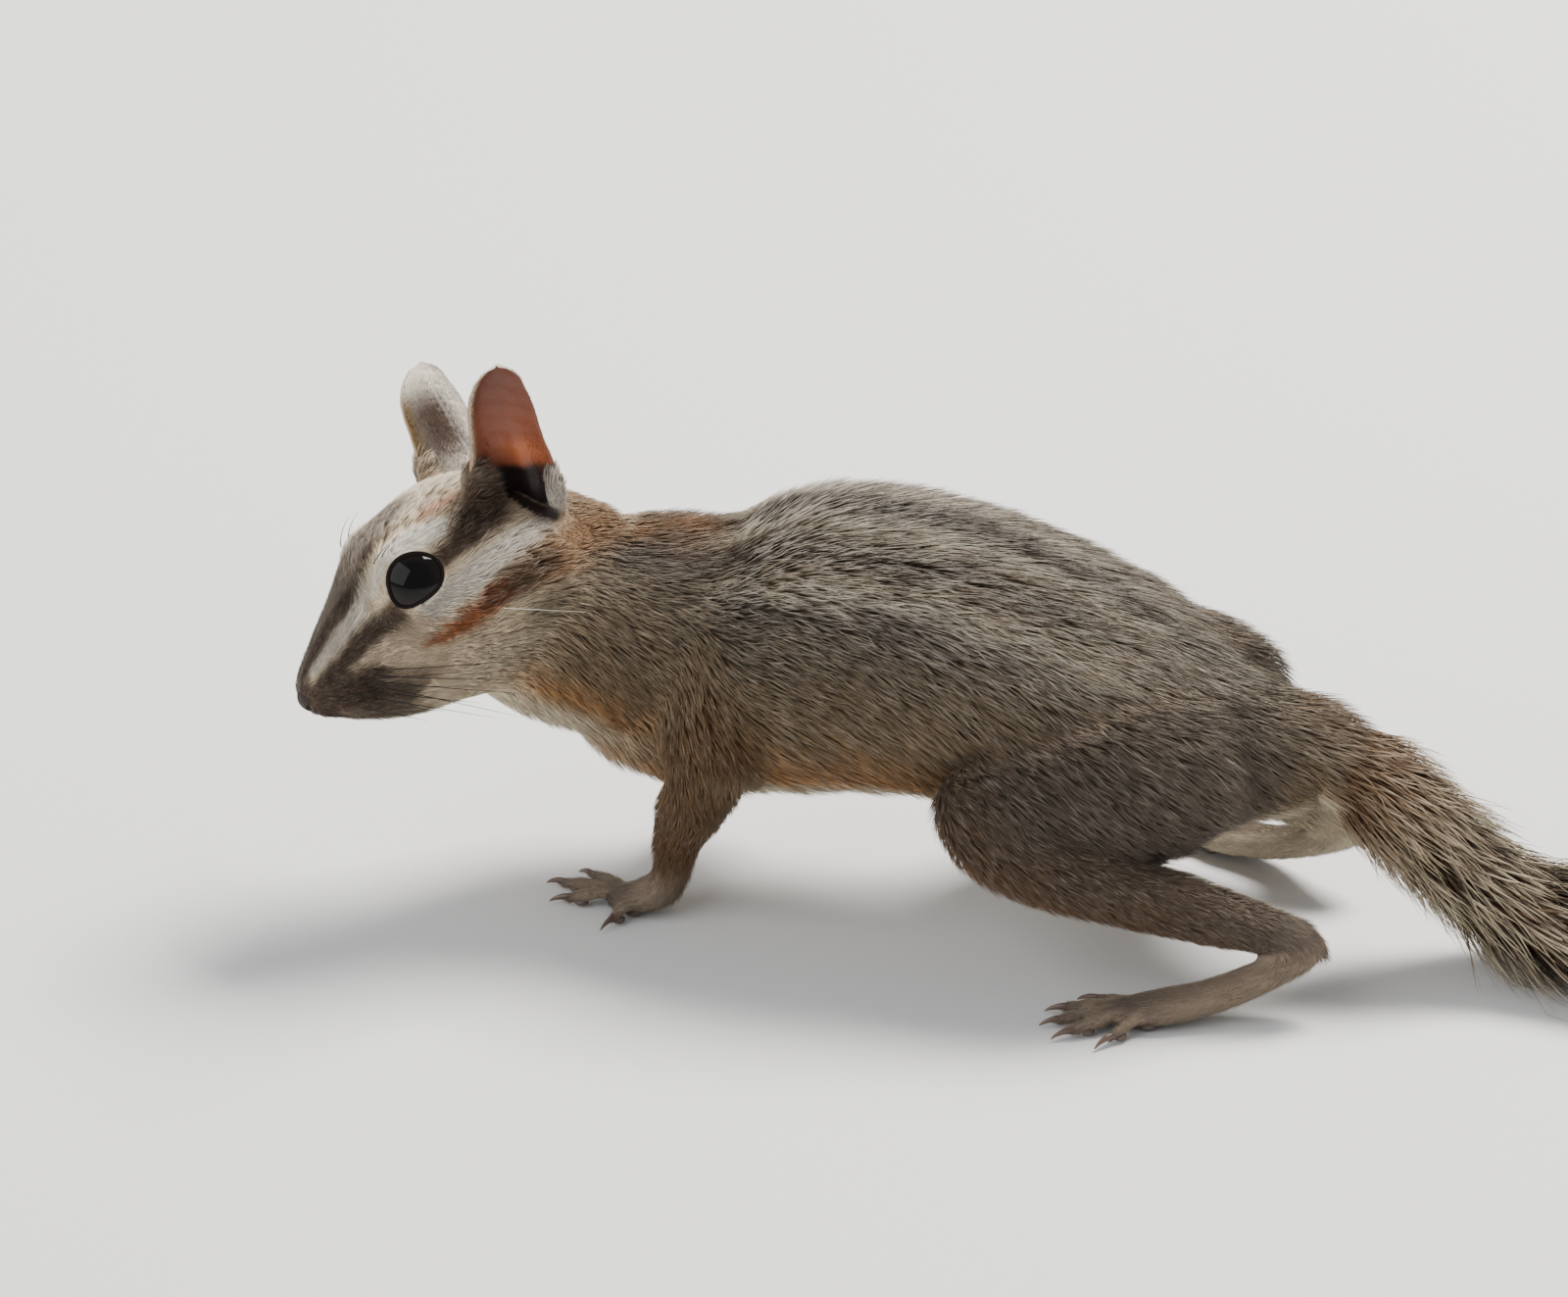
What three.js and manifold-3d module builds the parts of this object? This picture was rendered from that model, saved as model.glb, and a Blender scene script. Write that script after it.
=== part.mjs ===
// A cliff chipmunk standing on all fours with its head dropped and turned to its left, at life size.
// Lengths are in millimetres. +Z is up, the body faces -X and its left side is -Y.
// The soles and the lying tail meet the floor at z = 0.

import * as THREE from 'three';
import Module from 'manifold-3d';

const wasm = await Module();
wasm.setup();

// Driving dimensions
const GAP = 0.3;
const FLOOR_REACH = 400;
const LEFT = -1;
const RIGHT = 1;

// The trunk: x, top, bottom and half width of each cross-section, coat included.
const TRUNK_ROWS = [
  [-30, 34.3, 18.5, 8],
  [-24, 39.2, 14, 12.3],
  [-14, 41.6, 11.6, 14.8],
  [-4.5, 46.2, 12.5, 16.2],
  [4, 47.2, 14.1, 17],
  [13, 46.5, 14.6, 17.5],
  [23, 43.7, 14.3, 17.6],
  [33, 39.5, 14, 16.7],
  [42, 33.8, 14.4, 13.5],
  [49, 30.6, 16, 8.6],
];
const TRUNK = { sides: 26, squareness: 2.15, domes: [0.5, 0.55] };
const CHEST_END = -8;
const LOIN_END = 24;

// The neck runs from inside the head to inside the chest: x, y, z, half width, height above and below.
const NECK_ROWS = [
  [-38, -10, 35.2, 9.3, 9.4, 10.4],
  [-31, -6.5, 33.2, 11, 11, 12.4],
  [-23, -3, 30.2, 12.3, 11.8, 13],
  [-14, -0.5, 28.8, 13.4, 13.4, 14],
];
const NECK = { sides: 20, domes: [0.5, 0.3] };

// The head in its own frame: x forward from the nose tip, y to its left, z up.
const NOSE_TIP = new THREE.Vector3(-52.6, -24.7, 27.4);
const HEAD_TURN = 43;
const HEAD_NOD = 28.3;
const HEAD_TILT = 18.4;
const HEAD = { sides: 20, domes: [0.3, 0.45] };
const HEAD_ROWS = [
  [-1.6, 0.9, -3.5, 2.3],
  [-3, 1.9, -5.4, 3.2],
  [-6, 3.8, -7.7, 4.6],
  [-10, 6.6, -9.6, 6.3],
  [-15, 9, -11.6, 8.7],
  [-20, 10.2, -13.1, 10.1],
  [-25, 10.3, -13, 10.6],
  [-30, 8.4, -12, 10.3],
  [-34.5, 4.6, -9.8, 8.8],
  [-38, 0.4, -6.4, 5.6],
];
// Swellings on it, each an ellipsoid with a grid of columns and rows.
const WHISKER_PAD = { at: [-6, 2.6, -4.2], radii: [3.9, 2.4, 2.6], grid: [10, 7] };
const BROW = { at: [-18, 5.4, 6.4], radii: [6, 3, 2.6], grid: [10, 7] };

const EYE = { at: [-16.8, 5.5, 3.7], radius: 4.2, outward: [0.13, 0.955, 0.26], grid: [12, 8] };
const LID = { ring: 3.45, thick: 0.62, stand: 2.9, squash: 0.93, grid: [5, 18] };

const NOSE_PAD = { at: [-1.1, 0, -0.9], radii: [1.35, 1.75, 1.4], grid: [10, 8] };
const NOSTRIL = { at: [-0.35, 1.15, -0.55], radii: [0.75, 0.36, 0.45], grid: [6, 4] };

// The mouth line seen from the side, in the head's frame, cut as a narrow groove.
const MOUTH_LINE = [[-1.4, -3.15], [-3, -4.5], [-5.4, -6], [-8, -6.9], [-10.6, -6.7], [-12, -6]];
const MOUTH = { width: 0.45, depth: 0.8, across: 20 };

// The ears in the head's frame: root, tip, the way the cup opens, half widths and wall.
const EAR_LEFT = { root: [-30.7, 7.2, 4.2], tip: [-36.1, 12.2, 19.6], open: [0.34, 0.93, -0.06] };
const EAR_RIGHT = { root: [-29.4, -7.2, 4.2], tip: [-33.2, -13.8, 17.6], open: [0.3, -0.93, -0.1] };
const EAR_HALF_WIDTHS = [4.6, 4.75, 4.45, 4, 3.75, 3.6, 3.3, 2.7, 1.7];
const EAR_CUP_DEPTHS = [3.1, 3, 2.7, 2.3, 1.95, 1.6, 1.25, 0.9, 0.5];
const EAR = { wall: 0.75, steps: 6, reach: 0.97, spacing: 0.9, thinning: 0.35, sunk: 1 };

// The left foreleg: x, distance out from the middle plane, z, half width, half depth.
const UPPER_ARM_ROWS = [
  [-11, 8.5, 30, 6, 6.5],
  [-10.5, 11, 24.5, 5.8, 6.6],
  [-10.6, 12, 18.8, 4.5, 5.2],
];
const FOREARM_ROWS = [
  [-10.3, 12, 18.6, 4.2, 4.9],
  [-12.3, 11.2, 14, 3.4, 3.9],
  [-14.1, 10.6, 9.4, 2.2, 2.35],
  [-14.6, 10.3, 5.6, 2.25, 2.2],
];
const FOREPAW_ROWS = [
  [-14.7, 10.3, 5, 2.3, 2.2],
  [-15.9, 10.3, 3.3, 2.8, 2.2],
  [-18.3, 10.4, 2, 3.3, 1.9],
  [-20.6, 10.6, 1.5, 3, 1.5],
];
// The right forefoot is lifted in mid-step and hangs relaxed under the breast.
const LIFTED_FOREARM_ROWS = [
  [-10.4, 12.2, 18.6, 4.2, 4.8],
  [-12.8, 11.5, 15.8, 3.3, 3.7],
  [-15.6, 10, 13.3, 2.3, 2.35],
  [-16.9, 9, 11.1, 2.2, 2.1],
];
const LIFTED_PAW_ROWS = [
  [-17, 8.9, 10.6, 2.2, 2.1],
  [-17.7, 8.4, 8.8, 2.6, 1.9],
  [-18.2, 8, 7, 3, 1.7],
  [-18.4, 7.8, 5.6, 2.8, 1.5],
];
// Where the toes of a foot spread from, the way they point and the way the back of the foot faces.
const FOREPAW_PLAN = { heart: [-18.3, 10.4, 0], ahead: [-1, 0, 0], top: [0, 0, 1] };
const LIFTED_PAW_PLAN = { heart: [-16.8, 8.1, 8.6], ahead: [-0.2, -0.12, -1], top: [-1, 0, 0.2] };
// Each toe: degrees outward from straight ahead, reach to the claw root, and thickness.
const FORE_TOES = [[-36, 9, 0.95], [-15, 9.9, 1], [6, 8, 1], [66, 4.8, 0.95]];
const LIFTED_TOES = [[-19, 4.9, 0.95], [-6, 5.6, 1], [8, 5.4, 1], [24, 4.4, 0.95]];
const FORE_CLAW = { length: 2.1, radius: 0.5 };

// The hind leg, in the same terms.
const THIGH_ROWS = [
  [41, 7.2, 24.6, 8.6, 9.2],
  [35, 10.6, 23.4, 8.8, 10.6],
  [27, 14, 21.3, 6.6, 9.4],
  [19.8, 16.2, 18.8, 4.8, 6.6],
];
const SHANK_ROWS = [
  [20.2, 16.8, 17.4, 4.3, 5.6],
  [27.5, 17.8, 15.4, 4.4, 5.6],
  [38, 17, 12.9, 3.8, 4.6],
  [48, 15.4, 10.6, 2.9, 3.4],
  [56, 14.4, 8.8, 2.3, 2.5],
];
const HIND_FOOT_ROWS = [
  [57.4, 14.2, 8.4, 2.2, 2.2],
  [53, 15.8, 5.7, 2.2, 2.1],
  [47.5, 18.2, 3.2, 2.5, 2],
  [42, 20.4, 2, 3.1, 1.9],
  [38.6, 21.6, 1.6, 2.9, 1.6],
];
const HIND_FOOT_PLAN = { heart: [42, 20.4, 0], ahead: [-1, 0, 0], top: [0, 0, 1] };
const HIND_TOES = [[-13, 8, 0.95], [6, 10.4, 1.05], [21, 10.9, 1.05], [36, 10.4, 1.05], [58, 7.6, 0.95]];
const HIND_CLAW = { length: 2.3, radius: 0.52 };
const CLAW_ROOT = 0.6;
// Each leg form: sides round it and how far its two ends bulge.
const LEG_FORMS = {
  upperArm: { sides: 14, domes: [0.8, 0.8] },
  forearm: { sides: 12, domes: [0.8, 0.4] },
  thigh: { sides: 18, domes: [0.7, 0.9] },
  shank: { sides: 14, domes: [0.8, 0.6] },
  sole: { sides: 12, domes: [0.6, 0.9] },
};
// Along a toe: share of its reach, height over the sole, and its width and thickness against its own size.
const TOE_ROWS = [[0.15, 1.6, 1.25, 1.15], [0.5, 1.75, 1, 1.05], [0.78, 1.35, 0.95, 1], [1, 0.95, 0.8, 0.8]];
const TOE_FORM = { sides: 6, domes: [0.7, 0.9], domeSteps: [0.7] };
// Along a claw: share of its length, height over the sole, and its thickness against its own size.
const CLAW_ROWS = [[0, 1.15, 1], [0.5, 1.25, 0.85], [0.95, 0.6, 0.3]];
const CLAW_FORM = { sides: 5, domes: [0.6, 1], domeSteps: [], flatness: 0.8 };
// The right hind foot stands a little ahead of the left, its leg leaning from this height down.
const RIGHT_STEP = { ahead: 3, top: 20, drop: 14 };

// The tail: x, y, z of its middle, half width, half height above and below.
const TAIL_ROWS = [
  [45, 0, 26.5, 4.6, 4.6, 4.6],
  [51.5, 0.2, 24.6, 5.2, 5.2, 5],
  [58, 0.6, 20.6, 6, 5.8, 5.2],
  [64.5, 1.2, 15, 7.4, 6.6, 5.6],
  [72, 1.8, 9.4, 9, 7.2, 6.2],
  [82, 1.6, 6.3, 10.6, 7.6, 6.6],
  [95, -0.4, 5.6, 11.4, 7.8, 6.4],
  [109, -3.4, 5.4, 11.5, 7.8, 6.2],
  [123, -4.8, 5.2, 10.6, 7.2, 6],
  [136, -3, 4.8, 8.6, 6, 5.6],
  [146, 0.4, 4.2, 5.4, 4.4, 4.8],
];
// The share of that reach which is core, from the short-haired root to where the coat is full.
const TAIL_CORE = { root: 0.96, full: 0.38, from: 10, to: 40, sides: 9, step: 9 };
const TAIL_TIP = { beyond: 15, taper: 0.85 };
// Distances along the tail where each length of it begins and ends.
const TAIL_LENGTHS = { tail_root: [0, 28.5], tail_middle: [28.5, 68.9], tail_end: [68.9, 107] };
const LOCK_RINGS = { from: 11, to: 104, apart: 10.1, spacing: 8.4, fewest: 5 };
const LOCK = { shortest: 10, longest: 18, cover: 0.7, sunk: 0.12, bend: 0.72, uneven: 0.12, stray: 1.2 };
// How far before its start a lock is rooted, as a share of its length, and how much of it lies outward.
const LOCK_ROOT = -0.04;
const LOCK_RIDGE = 2 / 3;
// Down a lock: share of its length, share of its width, thickness.
const LOCK_ROWS = [[0, 0.3, 0.9], [0.46, 1, 0.95], [0.82, 0.66, 0.6]];
const LOCK_SEED = 7;

// Colours

const AGOUTI = 0x7d7263;
const NAPE_BROWN = 0x8a6a4a;
const TAWNY = 0x9a7750;
const FACE_BUFF = 0x8f806c;
const PAW_GREY = 0x84776a;
const EAR_SKIN = 0x8a4a34;
const EYE_BLACK = 0x0b0a0c;
const NOSE_DARK = 0x3a2c2a;
const CLAW_DARK = 0x2e2420;
const TAIL_GREY = 0x7a6a55;

// Shape tools

const vector = (x, y, z) => new THREE.Vector3(x, y, z);
const degrees = THREE.MathUtils.degToRad;
const ALONG_BODY = vector(-1, 0, 0.2);
const UPRIGHT = vector(0, 0, 1);

// Rows of numbers, with more rows between them on a Catmull-Rom curve through each column.
function between(rows, steps) {
  const result = [];
  for (let i = 0; i < rows.length - 1; i += 1) {
    const before = rows[Math.max(i - 1, 0)];
    const after = rows[Math.min(i + 2, rows.length - 1)];
    for (let step = 0; step < steps; step += 1) {
      const t = step / steps;
      result.push(rows[i].map((value, column) => {
        const next = rows[i + 1][column];
        const slopeHere = (next - before[column]) / (i > 0 ? 2 : 1);
        const slopeNext = (after[column] - value) / (i + 2 < rows.length ? 2 : 1);
        const t2 = t * t;
        const t3 = t2 * t;
        return (2 * t3 - 3 * t2 + 1) * value + (t3 - 2 * t2 + t) * slopeHere
          + (3 * t2 - 2 * t3) * next + (t3 - t2) * slopeNext;
      }));
    }
  }
  result.push(rows[rows.length - 1]);
  return result;
}

// A closed skin over rings of points, with one point closing each end.
class RingSkin extends THREE.BufferGeometry {
  constructor(rings, firstPole, lastPole) {
    super();
    const sides = rings[0].length;
    const points = [...rings.flat(), firstPole, lastPole];
    const firstIndex = points.length - 2;
    const lastIndex = points.length - 1;
    const lastRing = (rings.length - 1) * sides;
    const index = [];
    for (let side = 0; side < sides; side += 1) {
      const next = (side + 1) % sides;
      for (let ring = 0; ring < rings.length - 1; ring += 1) {
        const here = ring * sides;
        const beyond = here + sides;
        index.push(here + side, here + next, beyond + side);
        index.push(here + next, beyond + next, beyond + side);
      }
      index.push(firstIndex, next, side);
      index.push(lastIndex, lastRing + side, lastRing + next);
    }
    const places = points.flatMap((point) => point.toArray());
    this.setAttribute('position', new THREE.Float32BufferAttribute(places, 3));
    this.setIndex(enclosedVolume(points, index) < 0 ? index.reverse() : index);
  }
}

function enclosedVolume(points, index) {
  let total = 0;
  const cross = new THREE.Vector3();
  for (let i = 0; i < index.length; i += 3) {
    cross.crossVectors(points[index[i + 1]], points[index[i + 2]]);
    total += points[index[i]].dot(cross) / 6;
  }
  return total;
}

// One cross-section: an ellipse with its own height above and below, squarer as the exponent grows.
function section(at, side, up, half, above, below, sides, squareness = 2) {
  const ring = [];
  for (let i = 0; i < sides; i += 1) {
    const angle = (i / sides) * Math.PI * 2;
    const across = Math.sign(Math.cos(angle)) * Math.abs(Math.cos(angle)) ** (2 / squareness);
    const rise = Math.sign(Math.sin(angle)) * Math.abs(Math.sin(angle)) ** (2 / squareness);
    const height = rise > 0 ? rise * above : rise * below;
    ring.push(at.clone().addScaledVector(side, across * half).addScaledVector(up, height));
  }
  return ring;
}

// Stations are { at, side, up, half, above, below }. Both ends are closed by a dome.
function loft(stations, sides, options = {}) {
  const { grow = 0, domes = [0.6, 0.6], domeSteps = [0.5, 0.85], squareness = 2 } = options;
  const grown = stations.map((s) => ({
    ...s,
    half: s.half + grow,
    above: s.above + grow,
    below: s.below + grow,
  }));
  const ring = (s, scale, at) => section(
    at, s.side, s.up, s.half * scale, s.above * scale, s.below * scale, sides, squareness);
  const rings = grown.map((s) => ring(s, 1, s.at));
  const ends = [grown[0], grown[grown.length - 1]].map((end, which) => {
    const neighbour = which === 0 ? grown[1] : grown[grown.length - 2];
    const outward = end.at.clone().sub(neighbour.at).normalize();
    const depth = Math.min(end.half, (end.above + end.below) / 2) * domes[which];
    const domeRings = domeSteps.map((step) => ring(
      end, Math.sqrt(1 - step * step), end.at.clone().addScaledVector(outward, depth * step)));
    return { domeRings, pole: end.at.clone().addScaledVector(outward, depth) };
  });
  const [first, last] = ends;
  return new RingSkin([...first.domeRings.reverse(), ...rings, ...last.domeRings], first.pole, last.pole);
}

// Stations along a path, turned with it, from rows of x, y, z, half width and half height.
function pathStations(rows, steps, upHint = UPRIGHT) {
  const fine = between(rows, steps);
  return fine.map((row, i) => {
    const from = fine[Math.max(i - 1, 0)];
    const to = fine[Math.min(i + 1, fine.length - 1)];
    const along = vector(to[0] - from[0], to[1] - from[1], to[2] - from[2]).normalize();
    const side = new THREE.Vector3().crossVectors(along, upHint).normalize();
    const up = new THREE.Vector3().crossVectors(side, along);
    const [x, y, z, half, above, below = above] = row;
    return { at: vector(x, y, z), side, up, half, above, below };
  });
}

// Stations across the x axis, from rows of x, top, bottom and half width.
function levelStations(rows, steps) {
  return between(rows, steps).map(([x, top, bottom, half]) => ({
    at: vector(x, 0, (top + bottom) / 2),
    side: vector(0, 1, 0),
    up: vector(0, 0, 1),
    half,
    above: (top - bottom) / 2,
    below: (top - bottom) / 2,
  }));
}

function toSolid(geometry) {
  const vertProperties = new Float32Array(geometry.attributes.position.array);
  const triVerts = new Uint32Array(geometry.index.array);
  return new wasm.Manifold(new wasm.Mesh({ numProp: 3, vertProperties, triVerts }));
}

// three.js boxes and spheres have doubled vertices along their edges, which are joined here.
function weld(geometry) {
  const seen = new Map();
  const places = [];
  const position = geometry.attributes.position;
  const remap = [];
  for (let i = 0; i < position.count; i += 1) {
    const point = [position.getX(i), position.getY(i), position.getZ(i)];
    const key = point.map((value) => Math.round(value * 1e4)).join();
    if (!seen.has(key)) {
      seen.set(key, places.length / 3);
      places.push(...point);
    }
    remap.push(seen.get(key));
  }
  const index = [];
  for (let i = 0; i < geometry.index.count; i += 3) {
    const corners = [0, 1, 2].map((corner) => remap[geometry.index.getX(i + corner)]);
    if (new Set(corners).size === 3) {
      index.push(...corners);
    }
  }
  const welded = new THREE.BufferGeometry();
  welded.setAttribute('position', new THREE.Float32BufferAttribute(places, 3));
  welded.setIndex(index);
  return welded;
}

function ball(at, radii, grow, [columns, rows]) {
  const geometry = new THREE.SphereGeometry(1, columns, rows);
  geometry.scale(radii[0] + grow, radii[1] + grow, radii[2] + grow);
  geometry.translate(at[0], at[1], at[2]);
  return toSolid(weld(geometry));
}

function block(low, high) {
  const geometry = new THREE.BoxGeometry(high[0] - low[0], high[1] - low[1], high[2] - low[2]);
  geometry.translate((high[0] + low[0]) / 2, (high[1] + low[1]) / 2, (high[2] + low[2]) / 2);
  return toSolid(weld(geometry));
}

const fuse = (solids) => solids.reduce((total, solid) => total.add(solid));
const mirrored = (at, side) => [at[0], at[1] * side, at[2]];
const ABOVE_FLOOR = block([-FLOOR_REACH, -FLOOR_REACH, 0], [FLOOR_REACH, FLOOR_REACH, FLOOR_REACH]);

// The largest closed surface of a solid, as a geometry.
function bodyOf(solid) {
  const largest = solid.decompose().reduce((best, piece) => (piece.volume() > best.volume() ? piece : best));
  const mesh = largest.getMesh();
  const geometry = new THREE.BufferGeometry();
  geometry.setAttribute('position', new THREE.Float32BufferAttribute(mesh.vertProperties, 3));
  geometry.setIndex(Array.from(mesh.triVerts));
  return geometry;
}

function node(name, solid, color, roughness, metalness = 0) {
  const mesh = new THREE.Mesh(bodyOf(solid), new THREE.MeshStandardMaterial({ color, roughness, metalness }));
  mesh.name = name;
  return mesh;
}

const chipmunk = new THREE.Group();
chipmunk.name = 'chipmunk';

// Head

const headGroup = new THREE.Group();
headGroup.name = 'head_group';
headGroup.rotation.set(degrees(HEAD_TILT), degrees(HEAD_NOD), Math.PI + degrees(HEAD_TURN), 'ZYX');
headGroup.position.copy(NOSE_TIP);
headGroup.updateMatrix();

function headForm(grow) {
  const pairs = [WHISKER_PAD, BROW].flatMap((form) => [LEFT, RIGHT].map(
    (side) => ball(mirrored(form.at, -side), form.radii, grow, form.grid)));
  const skull = toSolid(loft(levelStations(HEAD_ROWS, 2), HEAD.sides, { grow, domes: HEAD.domes }));
  return fuse([skull, ...pairs]);
}

function mouthGroove() {
  const line = between(MOUTH_LINE, 1);
  const upper = line.map(([x, z]) => new THREE.Vector2(x, z + MOUTH.width / 2));
  const lower = line.map(([x, z]) => new THREE.Vector2(x, z - MOUTH.width / 2)).reverse();
  const geometry = new THREE.ExtrudeGeometry(new THREE.Shape([...upper, ...lower]), {
    depth: MOUTH.across,
    bevelEnabled: false,
  });
  geometry.translate(0, 0, -MOUTH.across / 2);
  geometry.rotateX(Math.PI / 2);
  const indexed = geometry.index ? geometry : withIndex(geometry);
  return toSolid(weld(indexed)).subtract(headForm(-MOUTH.depth));
}

function withIndex(geometry) {
  geometry.setIndex(Array.from({ length: geometry.attributes.position.count }, (_, i) => i));
  return geometry;
}

function eyeLid(side) {
  const outward = vector(...mirrored(EYE.outward, -side)).normalize();
  const ring = new THREE.TorusGeometry(LID.ring, LID.thick, ...LID.grid);
  ring.scale(1, LID.squash, 1);
  ring.applyQuaternion(new THREE.Quaternion().setFromUnitVectors(vector(0, 0, 1), outward));
  const middle = vector(...mirrored(EYE.at, -side)).addScaledVector(outward, LID.stand);
  ring.translate(middle.x, middle.y, middle.z);
  return toSolid(weld(ring));
}

const eyeSolid = (side, grow) => ball(
  mirrored(EYE.at, -side), [EYE.radius, EYE.radius, EYE.radius], grow, EYE.grid);
const nosePad = (grow) => ball(NOSE_PAD.at, NOSE_PAD.radii, grow, NOSE_PAD.grid);
const nostrils = () => fuse([LEFT, RIGHT].map(
  (side) => ball(mirrored(NOSTRIL.at, -side), NOSTRIL.radii, 0, NOSTRIL.grid)));

const headSolid = fuse([headForm(0), eyeLid(LEFT), eyeLid(RIGHT)])
  .subtract(eyeSolid(LEFT, GAP))
  .subtract(eyeSolid(RIGHT, GAP))
  .subtract(nosePad(GAP))
  .subtract(mouthGroove());
headGroup.add(node('head', headSolid, FACE_BUFF, 0.95));
headGroup.add(node('nose', nosePad(0).subtract(nostrils()), NOSE_DARK, 0.5));

// An ear is a leaf-shaped cup, each cross-section a bent strip, closed by a point at its tip.
function earSolid(ear, grow = 0) {
  const root = vector(...ear.root);
  const along = vector(...ear.tip).sub(root);
  const length = along.length();
  along.normalize();
  const open = vector(...ear.open);
  open.addScaledVector(along, -open.dot(along)).normalize();
  const across = new THREE.Vector3().crossVectors(along, open);
  const last = EAR_HALF_WIDTHS.length - 1;
  const rings = EAR_HALF_WIDTHS.map((half, i) => {
    const share = i / last;
    const middle = root.clone().addScaledVector(along, length * (share ** EAR.spacing) * EAR.reach);
    const strip = (depthShift, sign) => Array.from({ length: EAR.steps + 1 }, (_, step) => {
      const t = sign * (2 * (step / EAR.steps) - 1);
      const depth = -EAR_CUP_DEPTHS[i] * (1 - t * t) - depthShift * (1 - EAR.thinning * t * t);
      return middle.clone().addScaledVector(across, (half + grow) * t).addScaledVector(open, depth);
    });
    return [...strip(-grow, 1), ...strip(EAR.wall + grow, -1)];
  });
  const tipDepth = (EAR_CUP_DEPTHS[last] + EAR.wall) / 2;
  const tip = root.clone().addScaledVector(along, length).addScaledVector(open, -tipDepth);
  const foot = root.clone().addScaledVector(open, -EAR_CUP_DEPTHS[0] / 2).addScaledVector(along, -EAR.sunk);
  return toSolid(new RingSkin(rings, foot, tip));
}

const grownHead = headForm(GAP);
for (const [name, ear] of [['ear_left', EAR_LEFT], ['ear_right', EAR_RIGHT]]) {
  headGroup.add(node(name, earSolid(ear).subtract(grownHead), EAR_SKIN, 0.7));
}
for (const [name, side] of [['eye_left', LEFT], ['eye_right', RIGHT]]) {
  headGroup.add(node(name, eyeSolid(side, 0), EYE_BLACK, 0.05));
}
chipmunk.add(headGroup);

// Neck and trunk

const trunkForm = (grow) => toSolid(loft(levelStations(TRUNK_ROWS, 2), TRUNK.sides, {
  grow,
  domes: TRUNK.domes,
  squareness: TRUNK.squareness,
}));
const lengthwise = (from, to) => block([from, -FLOOR_REACH, -FLOOR_REACH], [to, FLOOR_REACH, FLOOR_REACH]);
const headInPlace = headForm(GAP).transform(headGroup.matrix.elements);
const trunk = trunkForm(0).subtract(headInPlace);
const grownTrunk = trunkForm(GAP);
chipmunk.add(node('torso_chest', trunk.intersect(lengthwise(-FLOOR_REACH, CHEST_END)), AGOUTI, 0.95));
chipmunk.add(node('torso_loin', trunk.intersect(lengthwise(CHEST_END + GAP, LOIN_END)), AGOUTI, 0.95));
chipmunk.add(node('torso_rump', trunk.intersect(lengthwise(LOIN_END + GAP, FLOOR_REACH)), AGOUTI, 0.95));

// The nape stops short of the ears by the same gap.
const neckForm = toSolid(loft(pathStations(NECK_ROWS, 2), NECK.sides, { domes: NECK.domes }));
const earsInPlace = [EAR_LEFT, EAR_RIGHT].map(
  (ear) => earSolid(ear, GAP).transform(headGroup.matrix.elements));
const neck = neckForm.subtract(headInPlace).subtract(grownTrunk).subtract(fuse(earsInPlace));
chipmunk.add(node('neck', neck, NAPE_BROWN, 0.95));

// Legs

// Rows of a left or right leg, leaning forward by a step towards its foot.
function standing(rows, side, step = 0) {
  return rows.map(([x, out, z, ...rest]) => {
    const share = THREE.MathUtils.clamp((RIGHT_STEP.top - z) / RIGHT_STEP.drop, 0, 1);
    return [x - step * share, out * side, z, ...rest];
  });
}

// A toe runs from the heart of the foot to the root of its claw, at a height above the sole.
function toePlan(plan, [outward, reach, thick], side, step = 0) {
  const top = vector(...mirrored(plan.top, side)).normalize();
  const straight = vector(...mirrored(plan.ahead, side)).normalize();
  const ahead = straight.applyAxisAngle(top, degrees(-outward * side));
  const heart = vector(...mirrored(plan.heart, side)).add(vector(-step, 0, 0));
  const place = (share, height) => heart.clone()
    .addScaledVector(ahead, reach * share)
    .addScaledVector(top, height);
  return { place, ahead, top, thick };
}

function toeSolid({ place, top, thick }, grow = 0) {
  const rows = TOE_ROWS.map(
    ([share, height, wide, deep]) => [...place(share, height), thick * wide, thick * deep]);
  return toSolid(loft(pathStations(rows, 1, top), TOE_FORM.sides, { ...TOE_FORM, grow }));
}

function clawSolid({ place, ahead, top }, claw, grownFoot) {
  const length = claw.length + CLAW_ROOT;
  const rows = CLAW_ROWS.map(([share, height, thick]) => {
    const point = place(1, height).addScaledVector(ahead, length * share - CLAW_ROOT);
    return [...point, claw.radius * thick * CLAW_FORM.flatness, claw.radius * thick];
  });
  return toSolid(loft(pathStations(rows, 1, top), CLAW_FORM.sides, CLAW_FORM)).subtract(grownFoot);
}

const leg = (rows, { sides, domes }, hint) => (grow) => toSolid(
  loft(pathStations(rows, 2, hint), sides, { grow, domes }));

function foot(rows, plans, hint) {
  const sole = leg(rows, LEG_FORMS.sole, hint);
  return (grow) => fuse([sole(grow), ...plans.map((plan) => toeSolid(plan, grow))]);
}

function addClaws(name, plans, claw, grownFoot) {
  plans.forEach((plan, i) => {
    chipmunk.add(node(`${name}_${i + 1}`, clawSolid(plan, claw, grownFoot), CLAW_DARK, 0.5));
  });
}

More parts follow.
